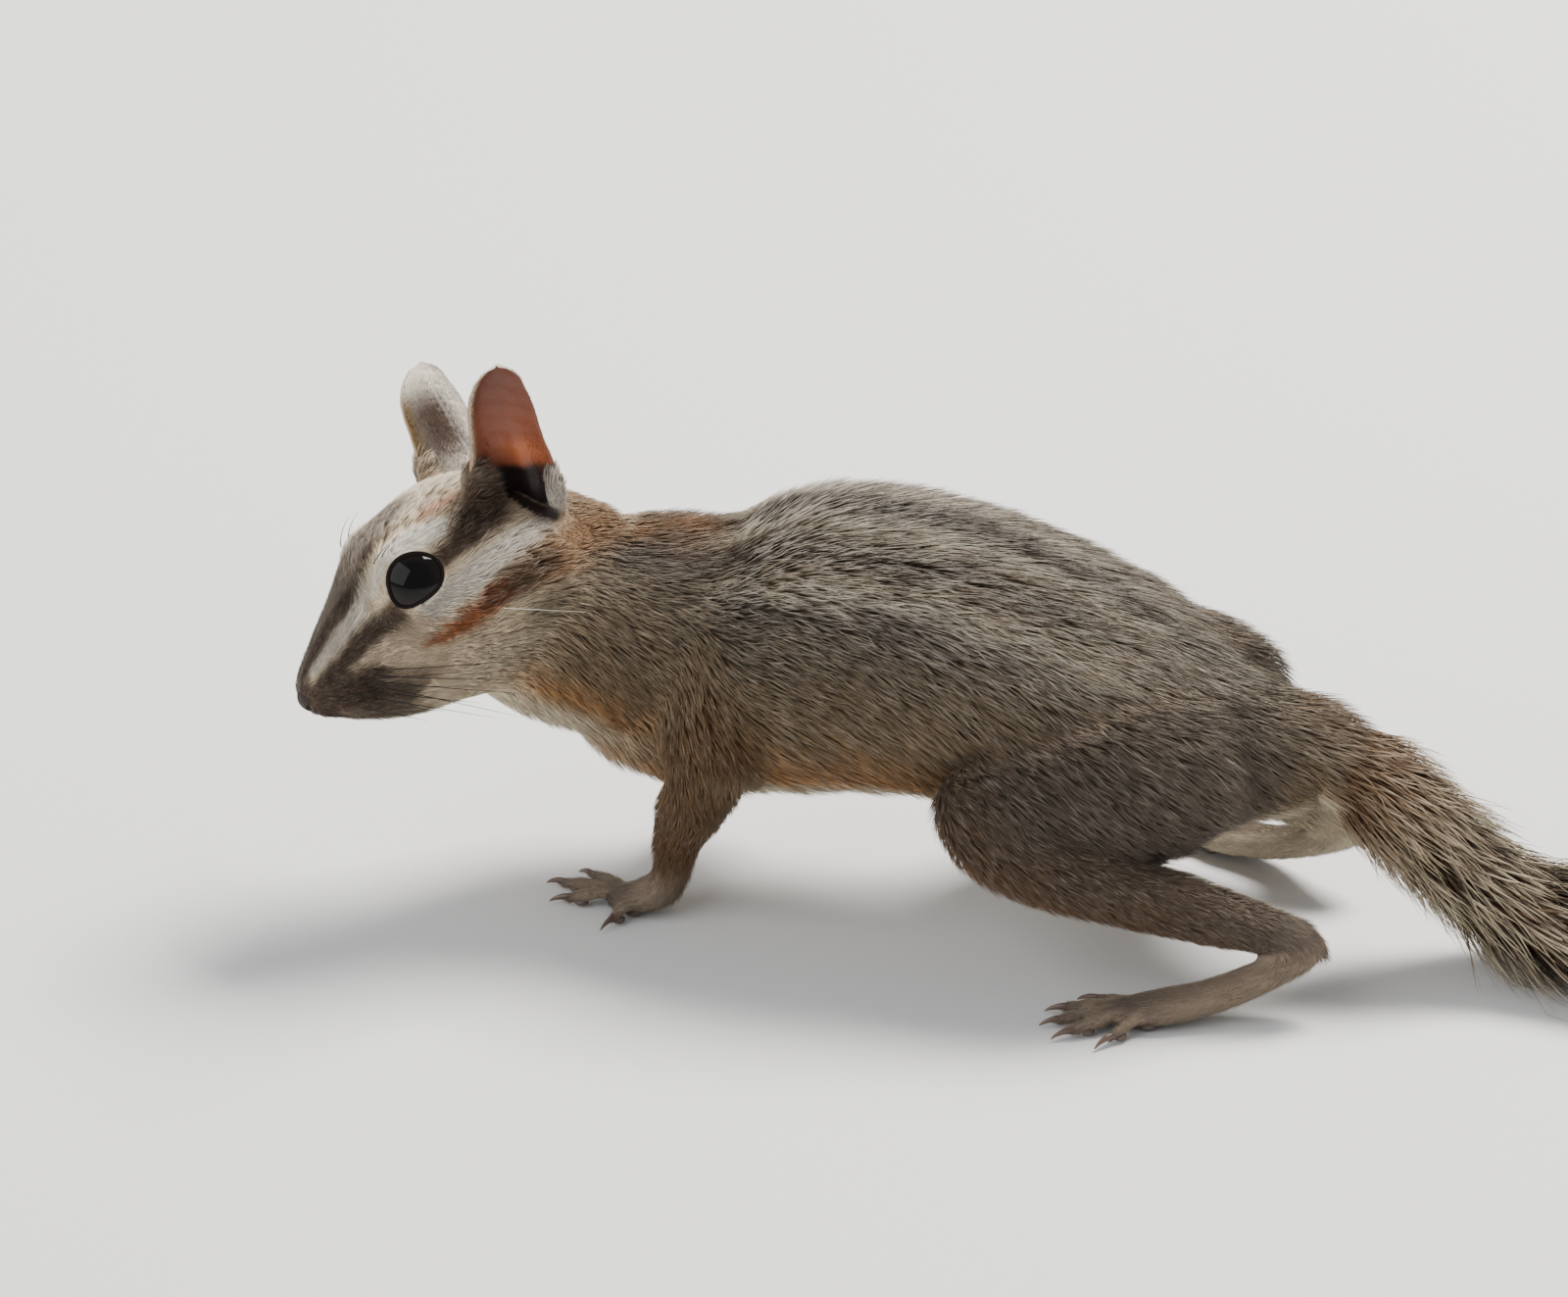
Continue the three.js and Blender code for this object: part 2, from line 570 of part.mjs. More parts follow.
for (const [word, side] of [['left', LEFT], ['right', RIGHT]]) {
  const planted = side === LEFT;
  const upperArm = leg(standing(UPPER_ARM_ROWS, side), LEG_FORMS.upperArm, ALONG_BODY);
  const forearmRows = planted ? FOREARM_ROWS : LIFTED_FOREARM_ROWS;
  const forearm = leg(standing(forearmRows, side), LEG_FORMS.forearm, ALONG_BODY);
  chipmunk.add(node(`upper_arm_${word}`, upperArm(0).subtract(grownTrunk), AGOUTI, 0.95));
  chipmunk.add(node(`forearm_${word}`, forearm(0).subtract(grownTrunk).subtract(upperArm(GAP)), TAWNY, 0.95));

  const pawPlan = planted ? FOREPAW_PLAN : LIFTED_PAW_PLAN;
  const plans = (planted ? FORE_TOES : LIFTED_TOES).map((toe) => toePlan(pawPlan, toe, side));
  const paw = foot(standing(planted ? FOREPAW_ROWS : LIFTED_PAW_ROWS, side), plans, ALONG_BODY);
  chipmunk.add(node(`forepaw_${word}`, paw(0).intersect(ABOVE_FLOOR).subtract(forearm(GAP)), PAW_GREY, 0.9));
  addClaws(`claw_fore_${word}`, plans, FORE_CLAW, paw(GAP));
}

for (const [word, side] of [['left', LEFT], ['right', RIGHT]]) {
  const step = side === RIGHT ? RIGHT_STEP.ahead : 0;
  const thigh = leg(standing(THIGH_ROWS, side, step), LEG_FORMS.thigh, UPRIGHT);
  const shank = leg(standing(SHANK_ROWS, side, step), LEG_FORMS.shank, UPRIGHT);
  chipmunk.add(node(`thigh_${word}`, thigh(0).subtract(grownTrunk), AGOUTI, 0.95));
  chipmunk.add(node(`shank_${word}`, shank(0).subtract(grownTrunk).subtract(thigh(GAP)), TAWNY, 0.95));

  const plans = HIND_TOES.map((toe) => toePlan(HIND_FOOT_PLAN, toe, side, step));
  const hindFoot = foot(standing(HIND_FOOT_ROWS, side, step), plans, UPRIGHT);
  const standingFoot = hindFoot(0).intersect(ABOVE_FLOOR).subtract(shank(GAP));
  chipmunk.add(node(`hind_foot_${word}`, standingFoot, PAW_GREY, 0.9));
  addClaws(`claw_hind_${word}`, plans, HIND_CLAW, hindFoot(GAP));
}

// Tail

// The tail's stations, found by distance along it. Past its last bone only hair goes on, to a point.
const tailStations = pathStations(TAIL_ROWS, 4);
const tailDistances = tailStations.reduce((list, station, i) => {
  list.push(i === 0 ? 0 : list[i - 1] + station.at.distanceTo(tailStations[i - 1].at));
  return list;
}, []);
const TAIL_LENGTH = tailDistances[tailDistances.length - 1];

function tailStation(distance) {
  const inside = THREE.MathUtils.clamp(distance, 0, TAIL_LENGTH);
  const next = Math.max(1, tailDistances.findIndex((value) => value >= inside));
  const [from, to] = [tailStations[next - 1], tailStations[next]];
  const share = (inside - tailDistances[next - 1]) / (tailDistances[next] - tailDistances[next - 1]);
  const along = to.at.clone().sub(from.at).normalize();
  const beyond = distance - inside;
  const taper = 1 - TAIL_TIP.taper * THREE.MathUtils.clamp(beyond / TAIL_TIP.beyond, 0, 1);
  const mix = (key) => THREE.MathUtils.lerp(from[key], to[key], share) * taper;
  return {
    at: from.at.clone().lerp(to.at, share).addScaledVector(along, beyond),
    side: from.side,
    up: from.up,
    half: mix('half'),
    above: mix('above'),
    below: mix('below'),
  };
}

const coatGrown = (distance) => THREE.MathUtils.smoothstep(distance, TAIL_CORE.from, TAIL_CORE.to);
const coreShare = (distance) => THREE.MathUtils.lerp(TAIL_CORE.root, TAIL_CORE.full, coatGrown(distance));

// The core between two distances, with flat ends.
function tailCore(from, to) {
  const count = Math.ceil((to - from) / TAIL_CORE.step);
  const stations = Array.from({ length: count + 1 }, (_, i) => {
    const distance = from + ((to - from) * i) / count;
    const station = tailStation(distance);
    const share = coreShare(distance);
    return {
      ...station,
      half: station.half * share,
      above: station.above * share,
      below: station.below * share,
    };
  });
  return toSolid(loft(stations, TAIL_CORE.sides, { domes: [0, 0], domeSteps: [] }));
}

THREE.MathUtils.seededRandom(LOCK_SEED);
const vary = (amount) => (THREE.MathUtils.seededRandom() * 2 - 1) * amount;

// The shape of one lock: where it leaves the core, the way round the tail that it lies, and its size.
function lockPlan(start, angle, width) {
  const length = THREE.MathUtils.lerp(LOCK.shortest, LOCK.longest, coatGrown(start));
  return {
    start: start + vary(LOCK.stray),
    angle,
    drift: vary(LOCK.uneven),
    length: length * (1 + vary(LOCK.uneven)),
    width: width * (1 + vary(LOCK.uneven)),
  };
}

// A ring of locks, as many as the way round the coat there has room for.
function lockRing(start, turned) {
  const { half, above, below } = tailStation(start);
  const around = Math.PI * (half + (above + below) / 2);
  const count = Math.max(LOCK_RINGS.fewest, Math.round(around / LOCK_RINGS.spacing));
  const width = (LOCK.cover * around) / count;
  const turn = (Math.PI * 2) / count;
  return Array.from({ length: count }, (_, i) => lockPlan(start, (i + turned) * turn, width));
}

// A flat lock with a low ridge, which leaves the core at a slant and bends back to lie along the tail.
function lockSolid({ start, angle, drift, length, width }, grow = 0) {
  const sunk = coreShare(start) - LOCK.sunk;
  const frameAt = (share) => {
    const station = tailStation(start + length * share);
    const turned = angle + drift * share;
    const rise = Math.sin(turned) > 0 ? station.above : station.below;
    const reach = sunk + (1 - sunk) * Math.max(share, 0) ** LOCK.bend;
    const outward = vector(0, 0, 0)
      .addScaledVector(station.side, station.half * Math.cos(turned))
      .addScaledVector(station.up, rise * Math.sin(turned));
    const across = vector(0, 0, 0)
      .addScaledVector(station.side, -station.half * Math.sin(turned))
      .addScaledVector(station.up, rise * Math.cos(turned))
      .normalize();
    return { at: station.at.clone().addScaledVector(outward, reach), outward: outward.normalize(), across };
  };
  const rings = LOCK_ROWS.map(([share, widthShare, thick]) => {
    const { at, outward, across } = frameAt(share);
    const half = (width * widthShare) / 2 + grow * 2;
    const ridge = thick * LOCK_RIDGE;
    const lower = ridge - thick - grow;
    return [
      at.clone().addScaledVector(across, half).addScaledVector(outward, lower),
      at.clone().addScaledVector(outward, ridge + grow * 2),
      at.clone().addScaledVector(across, -half).addScaledVector(outward, lower),
    ];
  });
  return toSolid(new RingSkin(rings, frameAt(LOCK_ROOT).at, frameAt(1).at));
}

const ringCount = Math.floor((LOCK_RINGS.to - LOCK_RINGS.from) / LOCK_RINGS.apart) + 1;
const lockPlans = Array.from({ length: ringCount }, (_, ring) => lockRing(
  LOCK_RINGS.from + ring * LOCK_RINGS.apart, (ring % 2) / 2)).flat();

// Each length of the tail keeps its own locks whole, and they lie over the root of the next one.
const aheadOf = (from) => lockPlans.filter(({ start, length }) => start < from && start + length > from);
for (const [name, [from, to]] of Object.entries(TAIL_LENGTHS)) {
  const own = lockPlans.filter(({ start }) => start >= from && start < to);
  const core = tailCore(from + GAP, to);
  const over = aheadOf(from).map((plan) => lockSolid(plan, GAP));
  const whole = fuse([core, ...own.map((plan) => lockSolid(plan))]);
  const clear = [...over, grownTrunk].reduce((left, solid) => left.subtract(solid), whole);
  chipmunk.add(node(name, clear.intersect(ABOVE_FLOOR), TAIL_GREY, 0.95));
}

// The origin is the middle of the bounding box, at the floor.
const bounds = new THREE.Box3().setFromObject(chipmunk, true);
chipmunk.position.set(-(bounds.min.x + bounds.max.x) / 2, -(bounds.min.y + bounds.max.y) / 2, -bounds.min.z);

export default chipmunk;
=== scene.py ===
"""A still, life-size chipmunk on three feet, its right forefoot lifted and its head turned to its left.

Inside the classes lengths are millimetres in the animal's own frame: it faces -X, its left side is -Y
and the floor is z = 0. Frame.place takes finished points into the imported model's frame, in metres.
"""

import logging
import math
from dataclasses import dataclass, field, replace
from enum import Enum
from typing import Sequence

import bpy
import numpy as np
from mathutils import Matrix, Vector


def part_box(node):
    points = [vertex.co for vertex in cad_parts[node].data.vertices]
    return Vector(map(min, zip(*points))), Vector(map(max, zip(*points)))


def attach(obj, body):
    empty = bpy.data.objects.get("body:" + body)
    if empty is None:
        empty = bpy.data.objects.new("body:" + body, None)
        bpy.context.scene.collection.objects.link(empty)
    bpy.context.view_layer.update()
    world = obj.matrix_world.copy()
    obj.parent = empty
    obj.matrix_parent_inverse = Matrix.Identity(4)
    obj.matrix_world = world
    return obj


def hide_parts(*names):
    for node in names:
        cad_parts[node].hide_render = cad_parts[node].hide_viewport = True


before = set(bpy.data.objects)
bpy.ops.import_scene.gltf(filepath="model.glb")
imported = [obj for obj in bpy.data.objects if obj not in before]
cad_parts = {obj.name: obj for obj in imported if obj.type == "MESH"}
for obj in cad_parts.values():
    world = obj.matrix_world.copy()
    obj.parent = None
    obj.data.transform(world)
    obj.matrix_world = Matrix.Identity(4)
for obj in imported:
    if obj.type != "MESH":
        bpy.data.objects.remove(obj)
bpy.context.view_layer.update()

Array = np.ndarray
Rows = Sequence[Sequence[float]]
Triple = tuple[float, float, float]
Shape = tuple[Array, Array]
Material = bpy.types.Material
LOG = logging.getLogger("chipmunk")

MM = 0.001
GAP = 0.3
CHEST_END = -8.0
SEED = 11
BODY = "root"
LEFT = -1
RIGHT = 1
SIDE_NAMES = {LEFT: "left", RIGHT: "right"}
UPRIGHT = (0.0, 0.0, 1.0)
ALONG_BODY = (-1.0, 0.0, 0.2)
DETAIL = 1.0
UNWRAP_EDGE = 0.004
UNWRAP_PATCH = 0.0015
CELLS = 8192


# Number tools


def unit(vectors: Array) -> Array:
    """Vectors divided by their own length."""
    length = np.linalg.norm(vectors, axis=-1, keepdims=True)
    return vectors / np.maximum(length, 1e-9)


def smooth(low: float, high: float, values: Array) -> Array:
    """The cubic 3t^2 - 2t^3, with t running from 0 at low to 1 at high."""
    t = np.clip((values - low) / (high - low), 0.0, 1.0)
    return t * t * (3.0 - 2.0 * t)


def blend(first: Array, second: Array, share: Array) -> Array:
    """A mix of two arrays of rows, where share 0 keeps the first and 1 gives the second."""
    amount = np.asarray(share)[..., None]
    return np.asarray(first) * (1.0 - amount) + np.asarray(second) * amount


def between(rows: Rows, steps: int) -> Array:
    """Rows with more rows between them, on a Catmull-Rom curve through each column.

    Args:
        rows: The rows that the curve goes through.
        steps: How many steps there are from one row to the next.

    Returns:
        The finer rows, the given ones among them.
    """
    knots = np.asarray(rows, float)
    slopes = np.gradient(knots, axis=0)
    t = np.linspace(0.0, 1.0, steps, endpoint=False)[None, :, None]
    here, there = knots[:-1, None], knots[1:, None]
    out, into = slopes[:-1, None], slopes[1:, None]
    fine = (
        (2 * t**3 - 3 * t**2 + 1) * here
        + (t**3 - 2 * t**2 + t) * out
        + (3 * t**2 - 2 * t**3) * there
        + (t**3 - t**2) * into
    )
    return np.vstack([fine.reshape(-1, knots.shape[1]), knots[-1:]])


def waves(points: Array, size: float, seed: int, count: int = 7) -> Array:
    """A soft random field from -1 to 1: the mean of sines along random directions.

    Args:
        points: Where the field is read.
        size: The length of a wave in millimetres.
        seed: Which of the fields this is.
        count: How many sines are summed.

    Returns:
        One value for each point.
    """
    draw = np.random.default_rng(seed)
    directions = unit(draw.normal(size=(count, 3))) * (2 * np.pi / size) * draw.uniform(0.6, 1.5, (count, 1))
    phases = draw.uniform(0, 2 * np.pi, count)
    return np.sin(points @ directions.T + phases).sum(axis=1) / math.sqrt(count)


def line_distance(points: Array, line: Array) -> Shape:
    """How far each point is from a bent line, and how far along the line its nearest place is.

    Args:
        points: The points.
        line: The line's own points, of which the first three columns are the place.

    Returns:
        The distances, and the places as row numbers with a fraction.
    """
    start, step = line[:-1, :3], np.diff(line[:, :3], axis=0)
    offset = points[:, None] - start
    share = np.clip((offset * step).sum(-1) / (step * step).sum(-1), 0, 1)
    gaps = np.linalg.norm(offset - share[..., None] * step, axis=-1)
    nearest = gaps.argmin(axis=1)
    rows = np.arange(len(points))
    return gaps[rows, nearest], nearest + share[rows, nearest]


def tube_faces(rings: int, sides: int) -> Array:
    """Triangles of a closed tube, whose points are its rings in order and then one point for each end."""
    ring, side = np.meshgrid(np.arange(rings - 1), np.arange(sides), indexing="ij")
    here = (ring * sides + side).ravel()
    beside = (ring * sides + (side + 1) % sides).ravel()
    wall = np.vstack([
        np.stack([here, beside, beside + sides], axis=1),
        np.stack([here, beside + sides, here + sides], axis=1),
    ])
    turn = np.arange(sides)
    last = (rings - 1) * sides
    ends = np.full(sides, rings * sides)
    first_cap = np.stack([ends, (turn + 1) % sides, turn], axis=1)
    last_cap = np.stack([ends + 1, last + turn, last + (turn + 1) % sides], axis=1)
    return np.vstack([wall, first_cap, last_cap])


def facing_out(points: Array, triangles: Array) -> Array:
    """The triangles, turned round if the volume that they enclose comes out negative."""
    a, b, c = (points[triangles[:, corner]] for corner in range(3))
    return triangles if (a * np.cross(b, c)).sum() > 0 else triangles[:, ::-1]


def joined(shapes: Sequence[Shape]) -> Shape:
    """Several shapes of points and triangles as one."""
    starts = np.cumsum([0] + [len(points) for points, _ in shapes])
    return (
        np.vstack([points for points, _ in shapes]),
        np.vstack([triangles + start for (_, triangles), start in zip(shapes, starts)]),
    )


class Frame:
    """Where the animal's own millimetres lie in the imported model's frame."""

    shift = np.array([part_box("torso_loin")[0].x / MM - (CHEST_END + GAP), 0.0, 0.0])

    @classmethod
    def place(cls, points: Array) -> Array:
        """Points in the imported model's metres."""
        return (points + cls.shift) * MM


def mesh_object(name: str, points: Array, triangles: Array, rounded: bool = True) -> bpy.types.Object:
    """A mesh object at the origin, with its place in its mesh.

    Args:
        name: The piece's name.
        points: Its points in the animal's millimetres.
        triangles: Rows of three point numbers.
        rounded: Whether its faces are shaded smooth.

    Returns:
        The object, linked to the scene.
    """
    mesh = bpy.data.meshes.new(name)
    mesh.vertices.add(len(points))
    mesh.vertices.foreach_set("co", Frame.place(points).astype(np.float32).ravel())
    mesh.loops.add(triangles.size)
    mesh.loops.foreach_set("vertex_index", triangles.astype(np.int32).ravel())
    mesh.polygons.add(len(triangles))
    mesh.polygons.foreach_set("loop_start", np.arange(0, triangles.size, 3, dtype=np.int32))
    mesh.update(calc_edges=True)
    mesh.polygons.foreach_set("use_smooth", np.full(len(triangles), rounded))
    piece = bpy.data.objects.new(name, mesh)
    bpy.context.scene.collection.objects.link(piece)
    return piece


def add_piece(
    name: str,
    shape: Shape,
    colours: Array,
    finish: Material,
    nodes: Sequence[str] = (),
) -> bpy.types.Object:
    """Makes a visible piece with its colours and its finish, and puts it on the body.

    Args:
        name: The piece's name.
        shape: Its points in the animal's millimetres, and its triangles.
        colours: A linear colour for each point.
        finish: Its material.
        nodes: The solids that it stands for.

    Returns:
        The piece.
    """
    piece = mesh_object(name, *shape)
    layer = piece.data.color_attributes.new("tint", "FLOAT_COLOR", "POINT")
    rgba = np.ones((len(colours), 4), np.float32)
    rgba[:, :3] = colours
    layer.data.foreach_set("color", rgba.ravel())
    piece.data.materials.append(finish)
    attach(piece, BODY)
    if nodes:
        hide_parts(*nodes)
    LOG.info("%s: %d triangles", piece.name, len(piece.data.polygons))
    return piece


# Colours


class Tint(Enum):
    """The colours of coat and skin, as display values from 0 to 255."""

    AGOUTI = (112, 99, 82)
    SLATE = (92, 83, 74)
    # Paler partly as painted sunlight on the top of the back.
    SILVER = (168, 158, 140)
    ASH = (142, 132, 115)
    STRIPE = (70, 61, 54)
    FLANK = (124, 104, 78)
    BUFF = (162, 118, 74)
    CREAM = (214, 200, 172)
    BELLY = (206, 192, 164)
    # HAUNCH and TAWNY are darkened partway: partly the coat's own brown, partly painted shade.
    HAUNCH = (88, 77, 68)
    TAWNY = (102, 76, 50)
    RUMP = (122, 110, 94)
    NAPE = (124, 88, 55)
    CHEEK = (206, 187, 158)
    PALE = (222, 213, 196)
    BLUSH = (192, 170, 146)
    STREAK = (196, 188, 176)
    # The crown's grey-cream, made paler as painted sunlight on the top of the head.
    CROWN = (212, 198, 174)
    BRIDGE = (112, 101, 90)
    BROWN = (56, 38, 27)
    RUST = (148, 82, 38)
    MUZZLE = (68, 51, 40)
    SMOKE = (130, 113, 96)
    # Black of the lid rims and whiskers, the dark mouth line, and painted shade in the slit under each ear.
    SOOT = (40, 32, 28)
    PAW = (132, 116, 98)
    TOE = (98, 84, 74)
    GOLD = (146, 118, 70)
    EARTH = (62, 40, 25)
    LOBE = (158, 151, 141)
    # The pale stripe over the eye, made near white: partly its own pale colour, partly painted sunlight.
    BROW = (240, 234, 222)
    TAIL_RUST = (128, 94, 64)
    TAIL_BLACK = (44, 36, 32)
    TAIL_TIP = (204, 188, 158)
    FROST = (222, 214, 200)

    @property
    def linear(self) -> Array:
        """The colour in linear light."""
        value = np.array(self.value) / 255.0
        return np.where(value <= 0.04045, value / 12.92, ((value + 0.055) / 1.055) ** 2.4)


# Forms


@dataclass(frozen=True)
class Loft:
    """A closed tube of oval sections carried along a path, each with its own half width and heights."""

    at: Array
    side: Array
    up: Array
    half: Array
    above: Array
    below: Array
    squareness: float = 2.0
    domes: tuple[float, float] = (0.6, 0.6)

    @classmethod
    def on_path(cls, rows: Rows, hint: Sequence[float], steps: int = 4, **settings: object) -> "Loft":
        """A tube along rows of x, y, z, half width, height above and, if given, height below.

        Args:
            rows: The sections.
            hint: The direction that the sections' tops lean towards.
            steps: How many finer sections there are from one row to the next.
            **settings: The tube's squareness and domes.

        Returns:
            The tube.
        """
        fine = between(rows, steps)
        at = fine[:, :3]
        along = unit(np.gradient(at, axis=0))
        side = unit(np.cross(along, np.asarray(hint, float)))
        return cls(at, side, np.cross(side, along), fine[:, 3], fine[:, 4], fine[:, -1], **settings)

    @classmethod
    def level(cls, rows: Rows, steps: int = 4, **settings: object) -> "Loft":
        """A tube along the x axis, from rows of x, top, bottom and half width."""
        x, top, bottom, half = between(rows, steps).T
        at = np.stack([x, np.zeros_like(x), (top + bottom) / 2], axis=1)
        ones = np.ones((len(x), 1))
        tall = (top - bottom) / 2
        return cls(at, ones * (0.0, 1.0, 0.0), ones * UPRIGHT, half, tall, tall, **settings)

    @property
    def along(self) -> Array:
        """The way that the path runs at each section."""
        return unit(np.gradient(self.at, axis=0))

    def drawn_in(self, depth: Array | float) -> "Loft":
        """The same tube with its surface drawn in by a depth at each section."""
        least = 0.25
        return replace(
            self,
            half=np.maximum(self.half - depth, least),
            above=np.maximum(self.above - depth, least),
            below=np.maximum(self.below - depth, least),
        )

    def turned(self, axes: Array, origin: Array) -> "Loft":
        """The tube taken from a local frame, whose axes are the matrix's columns, into the animal's frame."""
        return replace(self, at=self.at @ axes.T + origin, side=self.side @ axes.T, up=self.up @ axes.T)

    def surface(self, sides: int = 48) -> Shape:
        """The closed surface: an ellipse, squarer as the exponent grows, carried along the path.

        A point at angle a is the section's middle, plus its side times half width times cos(a) raised to
        2 / squareness, plus its up times its height times sin(a) raised likewise. Rings that shrink as
        the root of 1 - s^2 dome the ends.

        Args:
            sides: How many points a section has.

        Returns:
            The points and the triangles.
        """
        angle = np.linspace(0, 2 * np.pi, sides, endpoint=False)
        power = 2.0 / self.squareness
        across = np.sign(np.cos(angle)) * np.abs(np.cos(angle)) ** power
        rise = np.sign(np.sin(angle)) * np.abs(np.sin(angle)) ** power
        along = self.along
        steps = np.array([0.35, 0.62, 0.82, 0.95])
        shrink = np.sqrt(1 - steps**2)
        centres, scales, frames = [self.at], [np.ones(len(self.at))], [np.arange(len(self.at))]
        poles = []
        for end, sign, dome in ((0, -1, self.domes[0]), (-1, 1, self.domes[1])):
            depth = min(self.half[end], (self.above[end] + self.below[end]) / 2) * dome * sign
            rings = self.at[end] + along[end] * (depth * steps)[:, None]
            index = np.full(len(steps), end % len(self.at))
            place = 0 if sign < 0 else len(centres)
            order = slice(None, None, sign)
            centres.insert(place, rings[order])
            scales.insert(place, shrink[order])
            frames.insert(place, index)
            poles.append(self.at[end] + along[end] * depth)
        centre, scale, which = np.vstack(centres), np.concatenate(scales), np.concatenate(frames)
        tall = np.where(rise > 0, self.above[which, None], self.below[which, None])
        points = (
            centre[:, None]
            + self.side[which, None] * (self.half[which, None] * across * scale[:, None])[..., None]
            + self.up[which, None] * (tall * rise * scale[:, None])[..., None]
        )
        cloud = np.vstack([points.reshape(-1, 3), poles])
        return cloud, facing_out(cloud, tube_faces(len(centre), sides))

    def locate(self, points: Array) -> tuple[Array, Array, Array, Array]:
        """Where points lie on the tube.

        Args:
            points: The points.

        Returns:
            How far out each is against the surface, which is 1, its place along the tube from 0 to 1, its
            angle round the path, and the section nearest to it.
        """
        near = np.linalg.norm(points[:, None] - self.at, axis=-1).argmin(axis=1)
        offset = points - self.at[near]
        along = self.along[near]
        step = np.linalg.norm(np.gradient(self.at, axis=0), axis=1)[near]
        ahead = (offset * along).sum(-1)
        over = np.maximum(np.abs(ahead) - step, 0)
        x = (offset * self.side[near]).sum(-1) / self.half[near]
        rise = (offset * self.up[near]).sum(-1)
        y = rise / np.where(rise > 0, self.above[near], self.below[near])
        out = np.sqrt(x * x + y * y + (over / self.half[near]) ** 2)
        share = (near + np.clip(ahead / step, -0.5, 0.5)) / (len(self.at) - 1)
        return out, np.clip(share, 0, 1), np.arctan2(y, x), near


@dataclass(frozen=True)
class Pelage:
    """The coat of one form, in rows of place along it, hair length, lift, width and number for each mm2."""

    rows: Rows
    drop: float = 0.0
    flow: Triple | None = None

    def at(self, share: Array) -> Array:
        """Hair length, lift, width and number at places along the form, one row each."""
        table = np.asarray(self.rows, float)
        return np.stack([np.interp(share, table[:, 0], table[:, column]) for column in range(1, 5)], axis=-1)

    def depth(self, share: Array) -> Array:
        """How far the tips stand off the skin."""
        values = self.at(share)
        return values[:, 0] * np.sin(np.radians(values[:, 1])) * 0.95


@dataclass(frozen=True)
class Part:
    """A named form with its coat and the coat piece that it belongs to."""

    name: str
    form: Loft
    pelage: Pelage
    depth: Array | None = None

    @property
    def flesh(self) -> Loft:
        """The form drawn in by its coat."""
        share = np.linspace(0, 1, len(self.form.at))
        return self.form.drawn_in(self.pelage.depth(share) if self.depth is None else self.depth)


